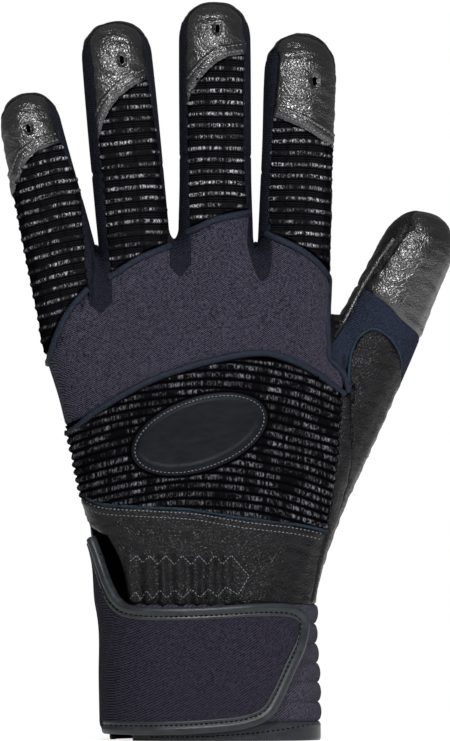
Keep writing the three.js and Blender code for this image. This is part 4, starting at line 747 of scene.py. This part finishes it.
def stitched(name, on, lines, finish, pitch=1.3, length=0.95, width=0.3, height=0.22, from_front=True):
    """Rows of stitches on a piece, along lines of the picture, each with its shift to the left."""
    tree = BVHTree.FromPolygons([v.co for v in on.data.vertices], [p.vertices for p in on.data.polygons])
    ahead = Vector((0, 1 if from_front else -1, 0))
    bm = bmesh.new()
    for pixels, shift in lines:
        line = drawn_line(pixels, pitch, shift)
        hits = [tree.ray_cast(Vector(to_frame([x, 0, z])) - ahead * ray_start, ahead) for x, z in line]
        for a, b in zip(hits, hits[1:]):
            if a[0] is None or b[0] is None or (b[0] - a[0]).length > stitch_leap * pitch * mm:
                continue
            run = (b[0] - a[0]).normalized()
            side = run.cross(a[1]).normalized()
            out = side.cross(run)
            middle = (a[0] + b[0]) / 2 + out * height * stitch_rise_share * mm
            halves = Matrix((run * length / 2 * mm, side * width / 2 * mm, out * height / 2 * mm))
            matrix = Matrix.Translation(middle) @ halves.transposed().to_4x4()
            bmesh.ops.create_icosphere(bm, subdivisions=1, radius=1.0, matrix=matrix)
    return trim(name, bm, finish)


# Fingers. Each finger's back is one piece of ribbed knit, sewn down both sides to narrow stretch strips
# and to the leather of its tip.
rib_pitch, rib_rise, rib_bow = 3.65, 0.85, 0.006
block_length, block_notch = 6.1, 0.9
fine_rise = 0.16
calm_from, calm_fade, calm_share = 8.5, 3.0, 0.45
bend_reach = 12.0
cut_below_crease = 14.0


def bent(made, name, reach=bend_reach):
    digit = digits[name]
    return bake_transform(made, "hand", f"{name}_tip", start=digit.place(digit.crease - reach),
                    end=digit.place(digit.crease + reach))


def crease_weld(name, reach=2.6, distance=1.8):
    """A weld at the crease, where the solids of a finger are parted and its cloth isn't."""
    digit = digits[name]

    def off_crease(place):
        return abs(float(digit.local(to_drawn([place]))[0][0]) - digit.crease) * mm

    return off_crease, reach, distance


def notch_at(column):
    """How far from the nearest of the notches between the blocks of a rib."""
    return np.abs(column - np.round(column)) * block_length


def rib_relief(digit):
    """A padded rib and two fine lines in each row, the rib parted into blocks."""
    def relief(points, edge):
        s, u = digit.local(points)
        row = s / rib_pitch + rib_bow * (u * u) / rib_pitch + 0.05 * waver(points, 9.0, 3)
        phase = row - np.floor(row)
        rib = np.cos(math.pi * np.clip((phase - 0.3) / 0.5, -0.5, 0.5)) ** 0.8
        lines = 0.5 - 0.5 * np.cos(2 * math.pi * np.clip((phase - 0.58) / 0.4, 0, 1) * 2)
        pillow = smooth(notch_at(u / block_length + 0.1 * waver(points, 7.0, 5) + 0.5) / block_notch)
        calm = 1 - calm_share * smooth((np.abs(u) - calm_from) / calm_fade)
        return calm * (rib_rise * rib * (0.55 + 0.45 * pillow) + fine_rise * lines * (0.5 + 0.5 * pillow))
    return relief


for name in fingers:
    ribs = panel(f"{name}_rib_back", [f"{name}_rib_lower", f"{name}_rib_upper"], black_rib, "rib_knit",
                 levels=3, longest=4.4, relief=rib_relief(digits[name]), roll=0.5, roll_width=1.0,
                 welds=[crease_weld(name, 1.2, 0.8)])
    bent(ribs, name)

# Fingertip caps: black grained leather with a vent slot, its folded lower edge held by two rows of stitches.
cap_lines = {
    "little": [(17, 199), (20.5, 176), (27, 159), (41, 149), (60, 142)],
    "ring": [(98.5, 141), (100, 130), (110.7, 107), (125, 91), (149, 77.5)],
    "middle": [(187.5, 105), (194, 87), (207, 70), (221.8, 58), (244, 53.5)],
    "index": [(274.2, 116), (299.5, 125.8), (318, 136.9), (333, 149)],
}
band_width, band_rise, band_fade = 3.3, 0.5, 0.5
band_grooves, groove_width, groove_depth = (0.9, 2.7), 0.3, 0.22
band_stitches = (0.9, 2.9)
cap_height = 0.25
wrinkle_rise, crease_rise, pebble_rise = 0.2, 0.1, 0.04


def leather_relief(points, edge):
    broad = waver(points * [1, 1, 1.8], 7.0, 11)
    crease = 1 - np.abs(waver(points * [0.8, 1, 1.6], 4.5, 12))
    return wrinkle_rise * broad + crease_rise * crease ** 2 + pebble_rise * waver(points, 2.2, 13)


def cap_relief(line):
    def relief(points, edge):
        distance = line_distance(points, line)
        band = 1 - smooth((distance - band_width) / band_fade)
        grooves = sum(swell(distance, place, groove_width) for place in band_grooves)
        return cap_height + leather_relief(points, edge) + band_rise * band - groove_depth * grooves
    return relief


for name in fingers:
    line = cap_lines[name]
    cap = panel(f"{name}_tip_cap", [f"{name}_cap"], glossy_leather, "leather", thickness=0.9, levels=3,
                longest=4.0, relief=cap_relief(line))
    bent(cap, name)
    rows = [(line, shift) for shift in band_stitches]
    bent(stitched(f"{name}_cap_stitches", cap, rows, thread_grey), name)

# Finger sides: stretch strips and webs, one run of cloth from one fingertip down over the web and up the
# next finger, with a tongue let into the back. The web stays with the hand.


def shared_out(bm, names):
    """The sheet cut across each finger where its bend begins: the part of each finger, and of the hand."""
    for name in names:
        digit = digits[name]
        bmesh.ops.bisect_plane(bm, geom=[*bm.verts, *bm.edges, *bm.faces], dist=1e-7,
                               plane_co=digit.place(digit.crease - cut_below_crease),
                               plane_no=(digit.way[0], 0, digit.way[1]))
    centres = to_drawn([f.calc_center_median() for f in bm.faces])
    nearest = np.argmin([digits[name].field(centres) for name in names], axis=0)
    owner = np.full(len(centres), "hand", dtype=object)
    for i, name in enumerate(names):
        beyond = digits[name].local(centres)[0] > digits[name].crease - cut_below_crease
        owner[(nearest == i) & beyond] = name
    parts = {}
    for key in ("hand", *names):
        part = bm.copy()
        others = [f for f, name in zip(part.faces, owner) if name != key]
        bmesh.ops.delete(part, geom=others, context="FACES")
        parts[key] = part
    return parts


crotch_x, crotch_z = flat([97, 248])[0]
crotch_place = Vector(to_frame([crotch_x, 0, crotch_z]))
crotch_reach, crotch_passes = 8.0, 25


def evened(bm):
    """Evens the cloth in the narrow crotch beside the little finger, where the form has no clear way out."""
    near = [v for v in bm.verts
            if math.hypot(v.co.x - crotch_place.x, v.co.z - crotch_place.z) < crotch_reach * mm]
    return relaxed(bm, near, crotch_passes)


web_cloth, web_grow = 1.1, 0.8
for left, right in zip(fingers, fingers[1:]):
    nodes = [f"{left}_right_strip", f"{left}_{right}_fourchette", f"{right}_left_strip"]
    bm = outer_face(nodes, [crease_weld(left), crease_weld(right)])
    let_out(bm, web_grow)
    bm = laid(rounded(bm, 3 - coarser, 6.0), level(), 0.4, 1.0)
    parts = shared_out(evened(bm), (left, right))
    for name, side in ((left, "right"), (right, "left")):
        made = piece(f"{name}_{side}_side", parts[name], web_cloth, navy_web, "spandex",
                     [f"{name}_{side}_strip"])
        bent(made, name)
    made = piece(f"{left}_{right}_web", parts["hand"], web_cloth, navy_web, "spandex",
                 [f"{left}_{right}_fourchette"])
    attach(made, "hand")

# Palm: one piece of leather from the cuff up the front of every finger, cut into the fingers' parts and the
# hand's.
palm_cloth, palm_grow = 0.9, 0.7
palm_nodes = ["palm_leather", *[f"{name}_palm_upper" for name in fingers]]
bm = outer_face(palm_nodes, [crease_weld(name) for name in fingers])
let_out(bm, palm_grow)
parts = shared_out(evened(laid(rounded(bm, 3 - coarser, 9.0), leather_relief)), fingers)
for name in fingers:
    made = piece(f"{name}_finger_palm", parts[name], palm_cloth, black_leather, "leather",
                 [f"{name}_palm_upper"])
    bent(made, name)
made = piece("palm", parts["hand"], palm_cloth, black_leather, "leather", ["palm_leather"])
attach(made, "hand")

# Piping: round navy cords sewn into the seams of the back.
piping_lines = {
    "little": [(46, 366), (50, 357), (56, 338), (68, 313), (88, 289)],
    "ring": [(109, 277.5), (120, 271), (139, 259), (170, 246)],
    "middle": [(187, 232.5), (200, 227), (219, 219), (249.5, 213)],
    "index": [(266, 234), (285, 242.5), (303, 252), (320, 266), (331, 283), (328.6, 300), (328, 330),
              (329, 345)],
    "knuckle": [(71, 431), (76, 428), (100, 409), (150, 381), (205, 362.5), (258, 353), (290, 360),
                (316, 373), (340, 391), (345, 395)],
    "thumb_crotch": [(329, 345), (329.5, 358), (337.5, 366), (344, 375), (348, 387), (348.5, 393)],
}
cord_radius, cord_height = 1.12, -0.2
for name, pixels in piping_lines.items():
    cord = swept(f"{name}_cord", pixels, round_profile(cord_radius, cord_height), navy_cord,
                 replaces=[f"{name}_piping"])
    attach(cord, "hand")

# The back of the hand: the navy stretch panel, the ribbed knuckle panel under its piping, the oval patch.
row_pitch, row_bow, row_peak = 2.75, 0.0045, -8.0
knuckle_notch = 0.6
oval_centre, oval_tilt, oval_half_width, oval_half_height = (199.6, 434), math.radians(19), 23.0, 12.2


def turned(x, z, tilt):
    """Places across and up, turned by a tilt."""
    return x * math.cos(tilt) - z * math.sin(tilt), z * math.cos(tilt) + x * math.sin(tilt)


def oval_share(points):
    offset = points[:, [0, 2]] - flat(oval_centre)[0]
    u, v = turned(offset[:, 0], offset[:, 1], -oval_tilt)
    return np.hypot(u / oval_half_width, v / oval_half_height)


def knuckle_relief(points, edge):
    x, z = points[:, 0], points[:, 2]
    row = (z + row_bow * (x - row_peak) ** 2 + 0.5 * waver(points, 30.0, 21)) / row_pitch
    phase = row - np.floor(row)
    rib = np.cos(math.pi * np.clip((phase - 0.5) / 0.8, -0.5, 0.5)) ** 0.6
    notch = notch_at(x / block_length + 0.12 * waver(points, 14.0, 22))
    covered = smooth((oval_share(points) - 0.98) / 0.08)
    return covered * rib_rise * rib * (0.4 + 0.6 * smooth(notch / knuckle_notch))


made = panel("hand_back", ["back_panel"], navy_stretch, "spandex", thickness=1.2, grow=1.4)
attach(made, "hand")
made = panel("knuckle_ribs", ["knuckle_rib_panel"], knuckle_rib, "rib_knit", levels=3, longest=4.0,
             relief=knuckle_relief)
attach(made, "hand")
oval_height, oval_ridge, oval_groove, oval_dip = 1.7, 0.4, 0.15, 0.12


def oval_relief(points, edge):
    ridge, groove, middle = swell(edge, 2.6, 0.28), swell(edge, 1.3, 0.3), smooth((edge - 2.8) / 1.0)
    return oval_height + oval_ridge * ridge - oval_groove * groove - oval_dip * middle


oval = panel("oval", ["oval_patch"], oval_leather, "leather", thickness=1.2, levels=3, grow=0.0,
             relief=oval_relief, roll_width=0.7)
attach(oval, "hand")


def oval_ring(inset, count=60):
    turns = np.linspace(0, 2 * math.pi, count)
    u, v = (oval_half_width - inset) * np.cos(turns), (oval_half_height - inset) * np.sin(turns)
    x, z = turned(u, v, oval_tilt)
    return np.stack([oval_centre[0] + x / pixel_across, oval_centre[1] - z / pixel_up], 1)


made = stitched("oval_stitches", oval, [(oval_ring(1.5), 0.0)], thread_grey, pitch=1.25, length=0.85,
                width=0.24)
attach(made, "hand")

# The wrist: leather below the knuckles, gathered by an elastic sewn inside it.
seam_line = [(81, 493), (101.6, 503.5), (150, 507), (193.5, 509.6), (244.5, 517.8), (295.5, 524), (327, 531)]
zigzag_above = [(130, 561), (137, 555), (143, 562), (150, 555), (158, 564), (166, 555), (174.5, 564),
                (182.4, 555), (191.7, 564), (198.6, 554.6), (207.5, 564), (214.7, 554.6), (222.6, 563.5),
                (231.2, 554.6), (249, 575.4), (238, 594)]
zigzag_below = [(130, 599), (136, 591), (141, 599), (147, 590), (153, 598), (160, 589), (167, 597),
                (175, 589), (183, 597), (191.7, 588.5), (200, 596.5), (209, 588), (217.6, 596), (226, 586),
                (238, 594)]
pucker_pitch, pucker_rise, pucker_sink = 5.2, 0.55, 0.15
pucker_left, pucker_head = flat([130, 556])[0]
pucker_right = flat([250, 600])[0][0]
fold_rise, fold_inset, fold_width = 0.25, 2.1, 0.9


def wrist_relief(points, edge):
    across = smooth((pucker_right - points[:, 0]) / 8) * smooth((points[:, 0] - pucker_left + 6) / 6)
    upright = smooth((pucker_head + 3 - points[:, 2]) / 4)
    wave = np.sin(2 * math.pi * (points[:, 0] + 0.6 * waver(points, 14.0, 31)) / pucker_pitch)
    fold = swell(line_distance(points, seam_line), fold_inset, fold_width)
    puckers = across * upright * (pucker_rise * wave - pucker_sink)
    return leather_relief(points, edge) + puckers + fold_rise * fold


wrist = panel("wrist_back", ["wrist_leather"], black_leather, "leather", thickness=0.9, levels=3,
              longest=5.0, relief=wrist_relief)
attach(wrist, "hand")
seam_edge = [(0.45 * x, 0.3 + 0.25 * y) for x, y in round_profile(1.0, 0.0, 8)]
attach(swept("knuckle_seam_edge", seam_line, seam_edge, blue_edge), "hand")
made = stitched("knuckle_seam_stitches", wrist, [(seam_line, -1.2), (seam_line, -3.0)], thread_grey)
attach(made, "hand")
zigzags = [(pair, 0.0) for corners in (zigzag_above, zigzag_below) for pair in zip(corners, corners[1:])]
made = stitched("gathering_stitches", wrist, zigzags, thread_grey, pitch=1.1, width=0.24)
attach(made, "hand")
made = panel("gathering_elastic", ["wrist_elastic"], black_tape, "elastic", thickness=0.8, levels=1,
             grow=0.0, relief=level(-1.4), roll=0.0)
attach(made, "hand")

# The edge of the hand and the thumb: leather panels and a stretch band.
made = panel("hand_edge", ["edge_leather"], black_leather, "leather", thickness=0.9, levels=3,
             relief=lambda points, edge: 0.5 * smooth(edge / 2.5) + leather_relief(points, edge))
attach(made, "hand")
thumb_bend = 10.0
thumb_pieces = {
    "thumb_base": (["thumb_base_leather"], black_leather, "leather"),
    "thumb_band": (["thumb_stretch_band"], navy_thumb, "spandex"),
    "thumb_tip_cap": (["thumb_tip_back"], glossy_leather, "leather"),
    "thumb_ball": (["thumb_palm_leather"], black_leather, "leather"),
    "thumb_tip_front": (["thumb_tip_palm"], black_leather, "leather"),
}
for name, (nodes, cloth, slot) in thumb_pieces.items():
    made = panel(name, nodes, cloth, slot, thickness=0.9, levels=3, longest=7.0,
                 relief=leather_relief if slot == "leather" else level())
    bent(made, "thumb", thumb_bend)
seam_roll_line = [(394, 239), (381.6, 256), (362.5, 286.7), (344.6, 321), (334, 338)]
made = swept("thumb_seam_roll", seam_roll_line, round_profile(0.8, -0.05), glossy_leather)
bent(made, "thumb", thumb_bend)
base_outline = [(349.5, 391), (348.7, 375), (350, 361), (352.5, 350), (359, 337), (372.6, 329), (387, 335.5),
                (396.5, 348), (400.5, 359), (401.5, 371)]
made = swept("thumb_base_edge", base_outline, seam_edge, blue_edge)
bent(made, "thumb", thumb_bend)

# The cuff: knit-faced foam, smooth under the strap and channelled in level rolls on the thumb side and the
# palm, and the tape bound round its rim.
roll_rise = 1.2
cuff_foot, cuff_head = flat([[0, 721], [0, 604]])[:, 1]
roll_count = 6
roll_from, roll_to, roll_fade = 14.0, 222.0, 5.0
turn_start = -60


def turn_round(points):
    """The angle round the wrist in degrees, from the front towards the thumb side."""
    share = points[:, 2] / body_top
    across = (points[:, 0] - along(body_centres, share)) / along(body_widths, share)
    ahead = -points[:, 1] / along(body_depths, share)
    power = body_fullness / 2
    x, y = (np.sign(part) * np.abs(part) ** power for part in (across, ahead))
    turn = np.degrees(np.arctan2(x, y))
    return np.where(turn < turn_start, turn + 360, turn)


def roll_relief(points, edge):
    place = (points[:, 2] - cuff_foot) / (cuff_head - cuff_foot) * roll_count
    wave = np.abs(np.sin(math.pi * place)) ** 0.55
    turn = turn_round(points)
    shown = smooth((turn - roll_from + roll_fade) / roll_fade)
    shown *= smooth((roll_to + roll_fade - turn) / roll_fade)
    return roll_rise * wave * shown


for side in ("back", "palm"):
    made = panel(f"cuff_{side}_foam", [f"cuff_{side}"], cuff_knit, "neoprene", thickness=1.5, levels=3,
                 longest=7.0, relief=roll_relief)
    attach(made, "hand")
rim = panel("rim_binding", ["hem_binding"], grey_binding, "binding", thickness=2.0, levels=3, grow=0.3,
            relief=level(0.9), roll=0.5, roll_width=0.9)
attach(rim, "hand")
rim_stitch_line = [(150, 735.5), (200, 735), (248, 732), (285, 727.5), (320, 722)]
for side in ("back", "palm"):
    made = stitched(f"rim_stitches_{side}", rim, [(rim_stitch_line, 0.0)], thread_black, pitch=1.6,
                    length=1.1, width=0.45, from_front=side == "back")
    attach(made, "hand")

# The strap: knit-faced foam from the little-finger side over the back of the wrist, held by hook and loop
# tape, with its edge bound.
strap_lift = 2.45
tail_lift = 0.05
anchor_lift = 1.25
strap_thickness, strap_grow = 1.6, 0.9
tail_foot, tail_top = flat([[0, 604], [0, 556]])[:, 1]
behind_from, behind_fade = 280, 50
fold_line = flat([[106, 729], [102, 670], [99.5, 612], [98, 568]])
fold_height, fold_in = 20.0, 2.0


def strap_relief(points, edge=None):
    tail = smooth((points[:, 2] - tail_foot) / (tail_top - tail_foot))
    lift = strap_lift + (tail_lift - strap_lift) * tail
    turn = turn_round(points)
    behind = np.where(turn > 180, smooth((behind_from - turn) / behind_fade), 0.0)
    return lift + (anchor_lift - lift) * behind + strap_thickness


fold_across = np.interp(fold_height, fold_line[:, 1], fold_line[:, 0]) + fold_in
fold_place = to_frame(settle([[fold_across, 0, fold_height]])[0])[0]


def strap_bent(made):
    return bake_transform(made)


strap_outline = [(89.6, 537), (93, 544), (97.8, 556), (101.6, 566.6), (106.4, 579), (112, 590), (118, 598),
                 (128, 604), (150, 606.5), (184, 606.5), (220, 605), (251, 603), (275, 602.5), (292, 604),
                 (302, 608.5), (308, 616), (309.5, 625), (305, 646.7), (295, 669.7), (285.8, 690.5),
                 (275.5, 710), (266, 719), (256, 723.5), (240, 727.5), (215, 730), (184, 732), (140, 733),
                 (104, 732.5)]
outline_step = 0.3
outline_reach, outline_fade, outline_spread, outline_passes = 9.0, 10.0, 16.0, 200
wing_foot = flat([128, 606])[0][0] * mm
head_points = 20


def wing_run(border):
    """The border from the peak of the wing to its foot."""
    run = [max(border, key=lambda v: v.co.z)]
    following = min((e.other_vert(run[0]) for e in run[0].link_edges if e.is_boundary), key=lambda v: v.co.y)
    while following.co.x < wing_foot:
        run.append(following)
        following = next(e.other_vert(run[-1]) for e in run[-1].link_edges
                         if e.is_boundary and e.other_vert(run[-1]) is not run[-2])
    return run


def fitted(bm):
    """Draws the border of the strap onto its outline where it passes near, and the cloth beside it along."""
    line = drawn_line(strap_outline, outline_step)
    outline = settle(front(line, strap_relief(front(line, lift_guess))))[0]
    border = [v for v in bm.verts if v.is_boundary]
    places = to_drawn([v.co for v in border])
    gaps = np.linalg.norm(places[:, None] - outline[None], axis=2)
    nearest, gap = gaps.argmin(1), gaps.min(1)
    shift = (outline[nearest] - places) * (gap < outline_reach)[:, None]
    beyond = nearest == len(outline) - 1
    shift[beyond] = shift[gaps[:, -1].argmin()] * (1 - smooth(gap[beyond] / outline_fade))[:, None]
    shift[nearest == 0] = 0
    run = [border.index(v) for v in wing_run(border)]
    peak = places[run[0]]
    head = settle(np.linspace(peak, outline[0], head_points, endpoint=False))[0]
    wing = np.concatenate([head, outline[:nearest[run[-1]] + 1]])
    shares, wing_reach = reach_along(places[run]), reach_along(wing)
    shares *= wing_reach[-1] / shares[-1]
    for axis in range(3):
        shift[run, axis] = np.interp(shares, wing_reach, wing[:, axis]) - places[run, axis]
    found = nearest_of(border, bm.verts)
    inner = [v for v, (_, _, distance) in zip(bm.verts, found)
             if distance < outline_spread * mm and not v.is_boundary]
    for v, (_, i, distance) in zip(bm.verts, found):
        v.co += Vector(shift[i] * mm) * float(smooth(1 - distance / mm / outline_spread))
    return relaxed(bm, inner, outline_passes)


bm = outer_face(["wrist_strap", "strap_anchor"], [(lambda place: 0.0, 1.0, 1.1)])
let_out(bm, strap_grow)
bm = laid(fitted(rounded(bm, 3 - coarser, 7.0)), strap_relief, 0.5, 1.2)
made = piece("strap", bm, strap_thickness, navy_foam, "neoprene", ["wrist_strap", "strap_anchor"])
strap_bent(made)
binding_profile = [(0.0, -2.0), (-0.2, -0.8), (-0.1, 0.0), (0.5, 0.55), (1.3, 0.72), (2.1, 0.55),
                   (2.55, 0.12), (2.9, 0.02), (3.2, 0.25), (3.7, 0.3), (4.1, 0.1), (4.2, -0.4), (3.0, -2.0)]
edge = swept("strap_edge", strap_outline, binding_profile, grey_binding, strap_relief,
             ["strap_binding"])
strap_bent(edge)
strap_bent(stitched("strap_stitches", edge, [(strap_outline[4:], -2.8)], thread_black, pitch=1.6, length=1.2,
                    width=0.5, height=0.3))
made = panel("hook_tape", ["strap_hook"], black_tape, "hook_tape", thickness=0.6, grow=-1.0,
             relief=level(2.1), roll=0.0)
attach(made, "strap")
made = panel("loop_tape", ["cuff_loop"], black_tape, "loop_tape", thickness=0.6, grow=-1.5,
             relief=level(1.05), roll=0.0)
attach(made, "hand")
